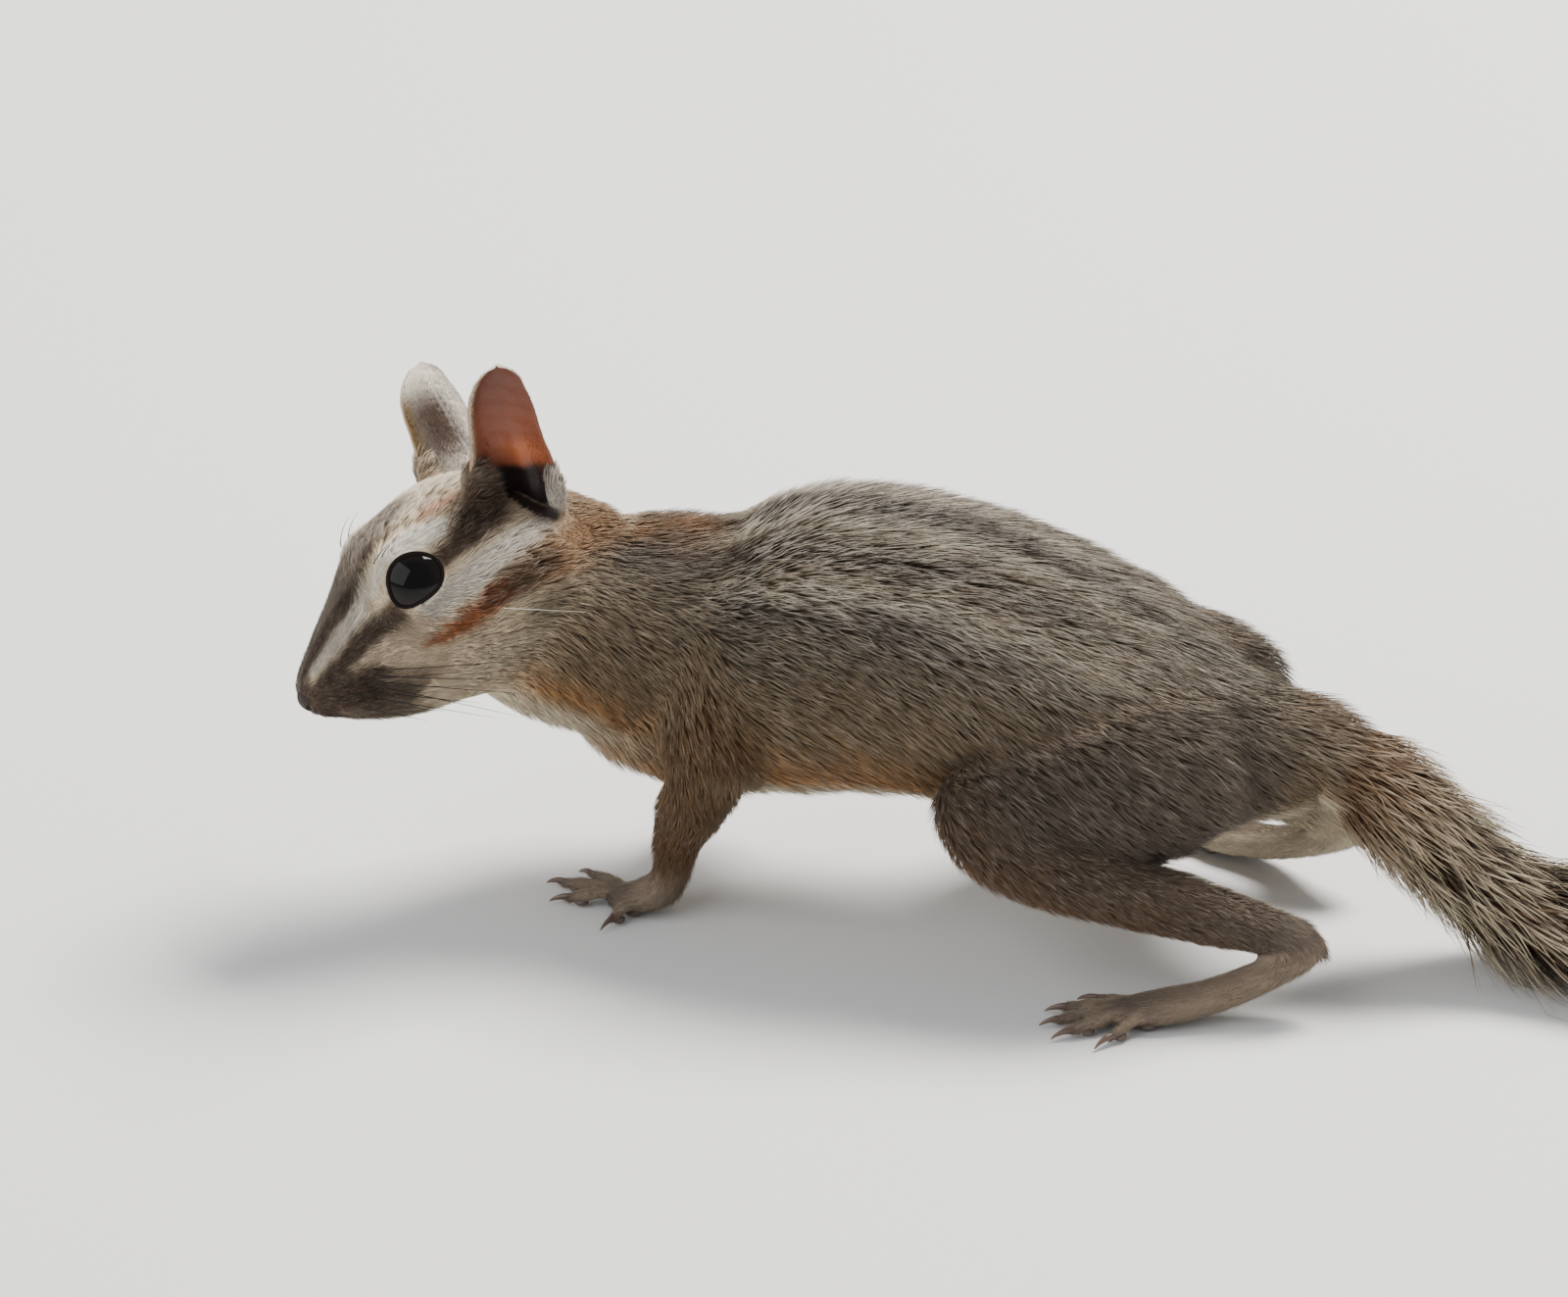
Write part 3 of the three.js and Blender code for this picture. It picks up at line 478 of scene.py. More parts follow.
@dataclass(frozen=True)
class HeadPlan:
    """The head in its own frame: x forward from the nose tip, y to its left and z up."""

    tip: Triple = (-52.6, -24.7, 27.4)
    turn: float = 43.0
    nod: float = 28.3
    tilt: float = 18.4
    rows: Rows = (
        (-1.5, 1.4, -3.95, 2.5), (-3, 2.6, -5.25, 3.4), (-6, 4.5, -7.45, 4.7), (-10, 7, -9.9, 6.3),
        (-15, 9.9, -11.6, 8.7), (-20, 10.5, -13.1, 10.1), (-25, 10.3, -13, 10.6), (-30, 7.9, -12, 10.3),
        (-34.5, 3.1, -9.8, 8.5), (-38, -1.8, -6.8, 5.2),
    )
    whisker_pad: Rows = ((-6.2, 2.6, -3.95), (3.6, 2.4, 2.25))
    brow: Rows = ((-18.4, 5.3, 6.3), (5.2, 2.9, 2.6))
    eye: Triple = (-17.15, 5.55, 4.05)
    eye_radius: float = 4.2
    eye_outward: Triple = (0.13, 0.955, 0.26)
    canthus: Triple = (0.9, 0.0, -0.44)
    eye_opening: float = 40.0
    eye_corners: Rows = ((1.0, 0.0, 7.5, 8), (-0.87, -0.49, 7.5, 4), (0.5, -0.87, -7.0, 3))
    nose: Triple = (-1.85, 0.0, -1.1)
    mouth: Rows = ((-1.4, -3.15), (-3, -4.5), (-5.4, -6), (-8, -6.9), (-10.6, -6.7), (-12, -6))

    @property
    def axes(self) -> Array:
        """The head's three axes as the columns of a matrix, turned, nodded and tilted in that order."""
        turn, nod, tilt = (math.radians(value) for value in (180 + self.turn, self.nod, self.tilt))
        about_z = [[math.cos(turn), -math.sin(turn), 0], [math.sin(turn), math.cos(turn), 0], [0, 0, 1]]
        about_y = [[math.cos(nod), 0, math.sin(nod)], [0, 1, 0], [-math.sin(nod), 0, math.cos(nod)]]
        about_x = [[1, 0, 0], [0, math.cos(tilt), -math.sin(tilt)], [0, math.sin(tilt), math.cos(tilt)]]
        return np.array(about_z) @ np.array(about_y) @ np.array(about_x)

    def out(self, points: Array) -> Array:
        """Points of the head's frame in the animal's frame."""
        return np.asarray(points, float) @ self.axes.T + np.array(self.tip)

    def into(self, points: Array) -> Array:
        """Points of the animal's frame in the head's frame."""
        return (points - np.array(self.tip)) @ self.axes

    def mirrored(self, point: Sequence[float], side: int) -> Array:
        """A point of the left half of the head, or its twin on the right."""
        return np.array([point[0], -point[1] * side, point[2]])

    def eye_axes(self, side: int) -> Array:
        """The eye's outward, forward and upward directions as columns, in the head's frame."""
        outward = unit(self.mirrored(self.eye_outward, side))
        forward = np.array(self.canthus)
        forward = unit(forward - outward * (forward @ outward))
        upward = np.cross(outward, forward)
        return np.stack([outward, forward, upward if upward[2] > 0 else -upward], axis=1)

    def lid_angle(self, forward: Array, upward: Array) -> Array:
        """How far the lids' edge is from the eye's middle in degrees, more or less towards each corner."""
        angle = np.full(np.shape(forward), self.eye_opening)
        for ahead, above, more, sharpness in self.eye_corners:
            angle += more * np.clip(forward * ahead + upward * above, 0, 1) ** sharpness
        return angle

    def outside_lids(self, places: Array, side: int) -> Shape:
        """How many degrees outside the lids' edge places are, and how far from the eye's centre."""
        away = places - self.mirrored(self.eye, side)
        reach = np.linalg.norm(away, axis=1)
        out, forward, upward = (unit(away) @ self.eye_axes(side)).T
        across = np.maximum(np.hypot(forward, upward), 1e-6)
        angle = np.degrees(np.arccos(np.clip(out, -1, 1)))
        return angle - self.lid_angle(forward / across, upward / across), reach

    def swellings(self, depth: float) -> list[Shape]:
        """The whisker pads and brows as ellipsoids, drawn in by a depth."""
        shapes = []
        for centre, radii in (self.whisker_pad, self.brow):
            for side in (LEFT, RIGHT):
                points, triangles = ball(self.mirrored(centre, side), np.array(radii) - depth)
                shapes.append((self.out(points), triangles))
        return shapes


def ball(centre: Array, radii: Array, columns: int = 32, rows: int = 18) -> Shape:
    """An ellipsoid: each ring's radius is the sine, and its height the cosine, of its angle from the pole."""
    polar = np.linspace(0, np.pi, rows + 2)[1:-1, None]
    turn = np.linspace(0, 2 * np.pi, columns, endpoint=False)[None]
    spots = (np.sin(polar) * np.cos(turn), np.sin(polar) * np.sin(turn), np.cos(polar))
    rings = np.stack(np.broadcast_arrays(*spots), -1)
    cloud = np.vstack([rings.reshape(-1, 3), [[0, 0, 1], [0, 0, -1]]]) * radii + centre
    return cloud, facing_out(cloud, tube_faces(rows, columns))


@dataclass(frozen=True)
class Mound:
    """A furred swelling at an ear's root: its place up, rearward and outward of the root, and its radii."""

    place: Triple
    radii: Triple


@dataclass(frozen=True)
class EarPlan:
    """An ear in the head's frame: its root, its tip, the way its cup opens and the mounds at its root."""

    side: int
    root: Triple
    tip: Triple
    open: Triple
    mounds: tuple[Mound, ...] = (
        Mound((1.4, -4.0, -0.5), (4.3, 1.9, 1.5)),
        Mound((0.4, 4.2, -0.5), (3.4, 1.3, 1.1)),
    )

    @property
    def length(self) -> float:
        """From the root to the tip."""
        return float(np.linalg.norm(np.subtract(self.tip, self.root)))

    @property
    def axes(self) -> Array:
        """The ear's upward, rearward and opening directions as columns."""
        along = np.subtract(self.tip, self.root) / self.length
        opening = np.array(self.open)
        opening = unit(opening - along * (opening @ along))
        across = np.cross(along, opening)
        return np.stack([along, across if across[0] < 0 else -across, opening], axis=1)

    def swellings(self, head: HeadPlan) -> list[Shape]:
        """The mounds as ellipsoids in the animal's frame."""
        shapes = []
        for mound in self.mounds:
            points, triangles = ball(np.array(mound.place), np.array(mound.radii))
            place = head.out(points @ self.axes.T + np.array(self.root))
            shapes.append((place, facing_out(place, triangles)))
        return shapes


EARS = (
    EarPlan(LEFT, (-30.7, 7.2, 4.2), (-36.1, 12.2, 19.6), (0.34, 0.93, -0.06)),
    EarPlan(RIGHT, (-29.4, -7.2, 4.2), (-33.2, -13.8, 17.6), (0.3, -0.93, -0.1)),
)


@dataclass(frozen=True)
class Anatomy:
    """The sizes of the trunk, neck, legs and tail, coat included, and how long the coat is on each."""

    head: HeadPlan = field(default_factory=HeadPlan)
    trunk_rows: Rows = (
        (-30, 34.3, 18.5, 8), (-24, 39.2, 14, 12.3), (-14, 41.6, 11.6, 14.8), (-4.5, 46.2, 12.5, 16.2),
        (4, 47.2, 14.1, 17), (13, 46.5, 14.6, 17.5), (23, 43.7, 14.3, 17.6), (33, 39.5, 14, 16.7),
        (42, 33.8, 14.4, 13.5), (49, 30.6, 16, 8.6),
    )
    neck_rows: Rows = (
        (-38, -10, 35.2, 9.3, 9.4, 10.4), (-31, -6.5, 33.2, 11, 12, 12.4), (-23, -3, 30.2, 12.3, 12.8, 13),
        (-14, -0.5, 28.8, 13.4, 13.9, 14),
    )
    upper_arm_rows: Rows = ((-11, 8.5, 30, 6, 6.5), (-10.5, 11, 24.5, 5.8, 6.6), (-10.6, 12, 18.8, 4.5, 5.2))
    forearm_rows: Rows = (
        (-10.3, 12, 18.6, 4.2, 4.9), (-12.5, 11.2, 14, 3.5, 4.2), (-14.2, 10.6, 9.4, 2.6, 2.95),
        (-14.8, 10.3, 5.6, 2.5, 2.7),
    )
    forepaw_rows: Rows = (
        (-14.9, 10.3, 5, 2.5, 2.6), (-15.9, 10.3, 3.3, 2.9, 2.3), (-18.3, 10.4, 2, 3.3, 1.9),
        (-20.6, 10.6, 1.5, 3, 1.5),
    )
    lifted_forearm_rows: Rows = (
        (-10.4, 12.2, 18.6, 4.2, 4.8), (-12.8, 11.5, 15.8, 3.4, 3.9), (-15.6, 10, 13.3, 2.6, 2.8),
        (-16.9, 9, 11.1, 2.4, 2.4),
    )
    lifted_paw_rows: Rows = (
        (-17, 8.9, 10.6, 2.2, 2.1), (-17.7, 8.4, 8.8, 2.6, 1.9), (-18.2, 8, 7, 3, 1.7),
        (-18.4, 7.8, 5.6, 2.8, 1.5),
    )
    thigh_rows: Rows = (
        (41, 7.2, 24.6, 8.6, 9.2), (35, 10.6, 23.4, 8.8, 10.6), (27, 14, 21.7, 6.6, 9),
        (19.8, 16.2, 19.3, 4.8, 6.2),
    )
    shank_rows: Rows = (
        (20.2, 16.8, 17.9, 4.3, 5.2), (27.5, 17.8, 15.9, 4.4, 5.2), (38, 17, 13.2, 3.8, 4.3),
        (48, 15.4, 10.6, 2.9, 3.4), (56, 14.4, 8.8, 2.3, 2.5),
    )
    hind_foot_rows: Rows = (
        (57.4, 14.2, 8.4, 2.2, 2.2), (53, 15.8, 5.7, 2.2, 2.1), (47.5, 18.2, 3.2, 2.5, 2),
        (42, 20.4, 2, 3.1, 1.9), (38.6, 21.6, 1.6, 2.9, 1.6),
    )
    tail_rows: Rows = (
        (45, 0, 26.5, 4.6, 4.6, 4.6), (51.5, 0.2, 24.6, 5.2, 5.2, 5), (58, 0.6, 20.6, 6, 5.8, 5.2),
        (64.5, 1.2, 15, 7.4, 6.6, 5.6), (72, 1.8, 9.4, 9, 7.2, 6.2), (82, 1.6, 6.3, 10.6, 7.6, 6.6),
        (95, -0.4, 5.6, 11.4, 7.8, 6.4), (109, -3.4, 5.4, 11.5, 7.8, 6.2), (123, -4.8, 5.2, 10.6, 7.2, 6),
        (136, -3, 4.8, 8.6, 6, 5.6), (146, 0.4, 4.2, 5.4, 4.4, 4.8),
    )
    right_step: float = 3.0
    step_top: float = 20.0
    step_drop: float = 14.0
    tail_core: tuple[float, float] = (0.84, 0.32)

    trunk_coat: Pelage = Pelage(
        ((0, 4.2, 24, 0.16, 8.6), (0.4, 4.8, 23, 0.165, 8.2), (1, 5.2, 22, 0.18, 8)), 0.35
    )
    neck_coat: Pelage = Pelage(
        ((0, 3.2, 22, 0.15, 10.5), (0.5, 4, 24, 0.155, 9.6), (1, 4.3, 24, 0.16, 8.8)), 0.45
    )
    head_coat: Pelage = Pelage((
        (0, 0.7, 18, 0.09, 42), (0.22, 1.2, 16, 0.1, 34), (0.42, 1.7, 15, 0.105, 26),
        (0.7, 2.3, 17, 0.12, 17), (1, 2.9, 20, 0.14, 12),
    ), 0.1)
    upper_arm_coat: Pelage = Pelage(((0, 3.8, 20, 0.15, 10), (1, 3, 19, 0.14, 12)), 0.0, (0.4, 0.0, -0.9))
    forearm_coat: Pelage = Pelage(((0, 2.7, 20, 0.14, 12), (0.6, 1.9, 18, 0.12, 16), (1, 1.5, 18, 0.11, 20)))
    paw_coat: Pelage = Pelage(((0, 1.3, 17, 0.1, 24), (1, 0.9, 16, 0.09, 26)))
    thigh_coat: Pelage = Pelage(
        ((0, 4.8, 23, 0.17, 8), (0.5, 4, 20, 0.165, 8.6), (1, 3, 16, 0.15, 11)), 0.0, (0.8, 0.0, -0.5)
    )
    shank_coat: Pelage = Pelage(
        ((0, 3.6, 21, 0.15, 10), (0.6, 2.3, 18, 0.13, 13), (1, 1.5, 17, 0.11, 18)), 0.25
    )
    hind_foot_coat: Pelage = Pelage(((0, 1.4, 16, 0.11, 20), (1, 1.0, 15, 0.1, 22)))
    tail_coat: Pelage = Pelage(
        ((0, 5, 20, 0.24, 6), (0.14, 8, 26, 0.26, 6), (0.4, 15, 27, 0.3, 5), (1, 15, 22, 0.3, 6))
    )

    def standing(self, rows: Rows, side: int, step: float = 0.0) -> Array:
        """Rows of a left or right leg, leaning forward by a step towards its foot."""
        table = np.array(rows, float)
        share = np.clip((self.step_top - table[:, 2]) / self.step_drop, 0, 1)
        table[:, 0] -= step * share
        table[:, 1] *= side
        return table

    def parts(self) -> list[Part]:
        """Every form of the body, from the head to the tail."""
        head = Loft.level(self.head.rows, domes=(0.3, 0.45))
        found = [
            Part("head", head.turned(self.head.axes, np.array(self.head.tip)), self.head_coat),
            Part("neck", Loft.on_path(self.neck_rows, UPRIGHT, domes=(0.5, 0.3)), self.neck_coat),
            Part("trunk", Loft.level(self.trunk_rows, squareness=2.15, domes=(0.5, 0.55)), self.trunk_coat),
        ]
        for side in (LEFT, RIGHT):
            word = SIDE_NAMES[side]
            planted = side == LEFT
            forearm = self.forearm_rows if planted else self.lifted_forearm_rows
            paw = self.forepaw_rows if planted else self.lifted_paw_rows
            step = 0.0 if planted else self.right_step
            for name, rows, hint, domes, coat, lean in (
                ("upper_arm", self.upper_arm_rows, ALONG_BODY, (0.8, 0.8), self.upper_arm_coat, 0.0),
                ("forearm", forearm, ALONG_BODY, (0.8, 0.4), self.forearm_coat, 0.0),
                ("forepaw", paw, ALONG_BODY, (0.6, 0.9), self.paw_coat, 0.0),
                ("thigh", self.thigh_rows, UPRIGHT, (0.7, 0.9), self.thigh_coat, step),
                ("shank", self.shank_rows, UPRIGHT, (0.8, 0.6), self.shank_coat, step),
                ("hind_foot", self.hind_foot_rows, UPRIGHT, (0.6, 0.9), self.hind_foot_coat, step),
            ):
                form = Loft.on_path(self.standing(rows, side, lean), hint, domes=domes)
                found.append(Part(f"{name}_{word}", form, coat))
        tail = Loft.on_path(self.tail_rows, UPRIGHT, domes=(0.5, 2.2))
        share = np.linspace(0, 1, len(tail.at))
        core = self.tail_core[0] + (self.tail_core[1] - self.tail_core[0]) * smooth(0.05, 0.38, share)
        reach = (tail.above + tail.below + 2 * tail.half) / 4
        found.append(Part("tail", tail, self.tail_coat, reach * (1 - core)))
        return found


# Feet


@dataclass(frozen=True)
class Toe:
    """A toe: degrees outward from straight ahead, reach to its claw root and thickness."""

    outward: float
    reach: float
    thick: float


@dataclass(frozen=True)
class FootPlan:
    """Where the toes of a foot spread from, the way they point, the way its back faces, and its claws."""

    name: str
    heart: Triple
    ahead: Triple
    top: Triple
    toes: tuple[Toe, ...]
    claw_length: float
    claw_radius: float
    side: int
    step: float = 0.0
    claw_root: float = 0.6
    toe_rows: Rows = (
        (0.15, 1.6, 1.25, 1.15), (0.5, 1.75, 1, 1.05), (0.78, 1.35, 0.95, 1), (1, 0.95, 0.8, 0.8),
    )
    claw_rows: Rows = (
        (0, 0.95, 0.9), (0.25, 1.05, 0.85), (0.5, 1.0, 0.66), (0.78, 0.74, 0.42), (0.97, 0.4, 0.16),
    )

    def mirrored(self, point: Sequence[float]) -> Array:
        """A point given for the right side, on this foot's side."""
        return np.array([point[0], point[1] * self.side, point[2]])

    def line(self, toe: Toe) -> tuple[Array, Array, Array]:
        """The toe's starting point, the way it points and the way its back faces."""
        top = unit(self.mirrored(self.top))
        straight = unit(self.mirrored(self.ahead))
        angle = math.radians(-toe.outward * self.side)
        ahead = (
            straight * math.cos(angle)
            + np.cross(top, straight) * math.sin(angle)
            + top * (top @ straight) * (1 - math.cos(angle))
        )
        return self.mirrored(self.heart) - np.array([self.step, 0, 0]), ahead, top

    def toe_form(self, toe: Toe) -> Loft:
        """A toe as a tube from the heart of the foot to the root of its claw."""
        heart, ahead, top = self.line(toe)
        rows = np.array([
            [*(heart + ahead * toe.reach * share + top * height), toe.thick * wide, toe.thick * deep]
            for share, height, wide, deep in self.toe_rows
        ])
        return Loft.on_path(rows, top, domes=(0.7, 0.9))

    def claw_form(self, toe: Toe) -> Loft:
        """A claw as a thin bent cone that grows from the end of its toe."""
        heart, ahead, top = self.line(toe)
        length = self.claw_length + self.claw_root
        rows = np.array([
            [
                *(heart + ahead * (toe.reach + length * share - self.claw_root) + top * height),
                self.claw_radius * thick * 0.75,
                self.claw_radius * thick,
            ]
            for share, height, thick in self.claw_rows
        ])
        return Loft.on_path(rows, top, domes=(0.6, 1.0))


FORE_TOES = (Toe(-36, 9, 0.95), Toe(-15, 9.9, 1), Toe(6, 8, 1), Toe(66, 4.8, 0.95))
LIFTED_TOES = (Toe(-19, 4.9, 0.95), Toe(-6, 5.6, 1), Toe(8, 5.4, 1), Toe(24, 4.4, 0.95))
HIND_TOES = (
    Toe(-13, 8, 0.95), Toe(6, 10.4, 1.05), Toe(21, 10.9, 1.05), Toe(36, 10.4, 1.05), Toe(58, 7.6, 0.95),
)
FEET = (
    FootPlan("fore_left", (-18.3, 10.4, 0), (-1, 0, 0), UPRIGHT, FORE_TOES, 2.1, 0.5, LEFT),
    FootPlan("fore_right", (-16.8, 8.1, 8.6), (-0.2, -0.12, -1), (-1, 0, 0.2), LIFTED_TOES, 2.1, 0.5, RIGHT),
    FootPlan("hind_left", (42, 20.4, 0), (-1, 0, 0), UPRIGHT, HIND_TOES, 2.3, 0.52, LEFT),
    FootPlan("hind_right", (42, 20.4, 0), (-1, 0, 0), UPRIGHT, HIND_TOES, 2.3, 0.52, RIGHT, 3.0),
)


# Shader tools


class Sock:
    """A node socket that takes part in sums, so that an expression on it adds its Math nodes."""

    def __init__(self, graph: "Graph", socket: bpy.types.NodeSocket) -> None:
        """Keeps the socket and the graph that it belongs to."""
        self.graph = graph
        self.socket = socket

    def _math(self, operation: str, *values: object) -> "Sock":
        """A Math node of one operation on these values."""
        return self.graph.node("ShaderNodeMath", {"operation": operation}, dict(enumerate(values)))

    def __add__(self, other: object) -> "Sock":
        """The sum."""
        return self._math("ADD", self, other)

    def __mul__(self, other: object) -> "Sock":
        """The product."""
        return self._math("MULTIPLY", self, other)


class Graph:
    """The node tree of one material."""

    def __init__(self, name: str) -> None:
        """Makes a material that holds only its output node."""
        self.material = bpy.data.materials.new(name)
        self.material.use_nodes = True
        self.tree = self.material.node_tree
        self.tree.nodes.clear()
        self.output = self.tree.nodes.new("ShaderNodeOutputMaterial")

    def node(
        self, kind: str, settings: dict[str, object], inputs: dict[object, object], out: object = 0
    ) -> Sock:
        """Adds a node.

        Args:
            kind: The node's type.
            settings: Its own settings, such as a Math node's operation.
            inputs: A number, colour or socket for each named or numbered input.
            out: The name or number of the output that is used.

        Returns:
            That output.
        """
        made = self.tree.nodes.new(kind)
        for key, value in settings.items():
            setattr(made, key, value)
        for key, value in inputs.items():
            if isinstance(value, Sock):
                self.tree.links.new(value.socket, made.inputs[key])
            else:
                made.inputs[key].default_value = value
        return Sock(self, made.outputs[out])

    def coordinates(self) -> Sock:
        """Places on the object in metres."""
        return self.node("ShaderNodeTexCoord", {}, {}, "Object")

    def noise(self, size_mm: float, detail: float = 4.0) -> Sock:
        """A noise whose blotches are about this many millimetres across."""
        inputs = {"Vector": self.coordinates(), "Scale": 1 / (size_mm * MM)}
        return self.node("ShaderNodeTexNoise", {}, {**inputs, "Detail": detail, "Roughness": 0.6}, "Fac")

    def attribute(self, name: str) -> Sock:
        """A colour that is written on the mesh."""
        return self.node("ShaderNodeAttribute", {"attribute_name": name}, {}, "Color")

    def mix(self, share: object, first: object, second: object, way: str = "MIX") -> Sock:
        """A mix of two colours."""
        settings = {"data_type": "RGBA", "blend_type": way}
        return self.node("ShaderNodeMix", settings, {0: share, 6: first, 7: second}, 2)

    def bump(self, height: Sock, depth_mm: float) -> Sock:
        """A bump of about this depth."""
        inputs = {"Height": height, "Distance": depth_mm * MM, "Strength": 1.0}
        return self.node("ShaderNodeBump", {}, inputs, "Normal")

    def tinted(self, level: Sock) -> Sock:
        """The colour written on the mesh, multiplied by a level."""
        grey = self.node("ShaderNodeCombineColor", {}, dict.fromkeys(range(3), level))
        return self.mix(1.0, self.attribute("tint"), grey, "MULTIPLY")

    def surface(self, inputs: dict[object, object]) -> Material:
        """Ends the graph in a Principled surface and returns the material."""
        shader = self.node("ShaderNodeBsdfPrincipled", {}, inputs, "BSDF")
        self.tree.links.new(shader.socket, self.output.inputs["Surface"])
        return self.material


@dataclass(frozen=True)
class FurFinish:
    """Hair that carries its colour on the mesh, a little varied, with a soft gloss."""

    name: str
    roughness: float = 0.5
    gloss: float = 0.2
    variation: float = 0.16

    def material(self) -> Material:
        """The hair's material."""
        graph = Graph(self.name)
        blotch = graph.noise(2.6)
        return graph.surface({
            "Base Color": graph.tinted(blotch * (2 * self.variation) + (1 - self.variation)),
            "Roughness": graph.noise(0.8) * 0.2 + (self.roughness - 0.1),
            "Specular IOR Level": self.gloss,
        })


@dataclass(frozen=True)
class SkinFinish:
    """The skin and the soft under-coat on it, of the coat's own colours made darker, partly as the
    under-coat's own colour and partly as painted shade under the hair, with a fine bump.
    """

    name: str
    # How much darker the skin is than the coat: partly the under-coat's own colour, partly painted shade
    # under the hair.
    shade: float = 0.85
    bump_mm: float = 0.12

    def material(self) -> Material:
        """The skin's material."""
        graph = Graph(self.name)
        fine = graph.noise(0.35, 6.0)
        return graph.surface({
            "Base Color": graph.tinted(fine * 0.5 + (self.shade - 0.25)),
            "Roughness": fine * 0.2 + 0.6,
            "Specular IOR Level": 0.25,
            "Normal": graph.bump(fine, self.bump_mm),
        })


@dataclass(frozen=True)
class BareFinish:
    """Bare skin, such as the nose pad, a lid or the inside of an ear, with pores and a faint moist gloss."""

    name: str
    roughness: float = 0.45
    pores_mm: float = 0.35
    bump_mm: float = 0.06
    glow: float = 0.0
    gloss: float = 0.4

    def material(self) -> Material:
        """The bare skin's material."""
        graph = Graph(self.name)
        pores = graph.noise(self.pores_mm, 5.0)
        veins = graph.noise(self.pores_mm * 6, 3.0)
        return graph.surface({
            "Base Color": graph.tinted(veins * 0.4 + pores * 0.3 + 0.65),
            "Roughness": pores * 0.25 + (self.roughness - 0.12),
            "Specular IOR Level": self.gloss,
            "Subsurface Weight": self.glow,
            "Subsurface Radius": (1.0, 0.35, 0.2),
            "Subsurface Scale": 0.4 * MM,
            "Normal": graph.bump(pores, self.bump_mm),
        })


@dataclass(frozen=True)
class EyeFinish:
    """A smooth wet eye, whose iris and pupil are colours on its mesh."""

    name: str

    def material(self) -> Material:
        """The eye's material."""
        graph = Graph(self.name)
        return graph.surface({
            "Base Color": graph.attribute("tint"),
            "Roughness": graph.noise(1.5) * 0.04 + 0.04,
            "Specular IOR Level": 0.17,
        })


@dataclass(frozen=True)
class HornFinish:
    """Horn of a claw, dark at its root and clearer at its tip, with fine lengthwise streaks."""

    name: str

    def material(self) -> Material:
        """The claw's material."""
        graph = Graph(self.name)
        streak = graph.noise(0.25, 4.0)
        colour = graph.mix(streak, graph.attribute("tint"), (0.16, 0.1, 0.07, 1))
        return graph.surface({
            "Base Color": colour,
            "Roughness": streak * 0.2 + 0.22,
            "Normal": graph.bump(streak, 0.02),
        })


@dataclass(frozen=True)
class FloorFinish:
    """A plain pale studio floor."""

    name: str
    colour: Triple = (0.78, 0.78, 0.77)

    def material(self) -> Material:
        """The floor's material."""
        colour = (*self.colour, 1.0)
        return Graph(self.name).surface({"Base Color": colour, "Roughness": 0.85, "Specular IOR Level": 0.2})


# Markings


@dataclass(frozen=True)
class Stroke:
    """A band of colour on the head, along rows of x, distance outward, z and half width."""

    tint: Tint
    line: Rows
    strength: float = 1.0
    soft: float = 0.4

    def share(self, places: Array) -> Array:
        """How much of the colour each place takes, fading over the soft edge of the band."""
        rows = np.asarray(self.line, float)
        gap, where = line_distance(places, rows)
        width = np.interp(where, np.arange(len(rows)), rows[:, 3])
        return self.strength * (1 - smooth(1 - self.soft, 1 + self.soft, gap / width))


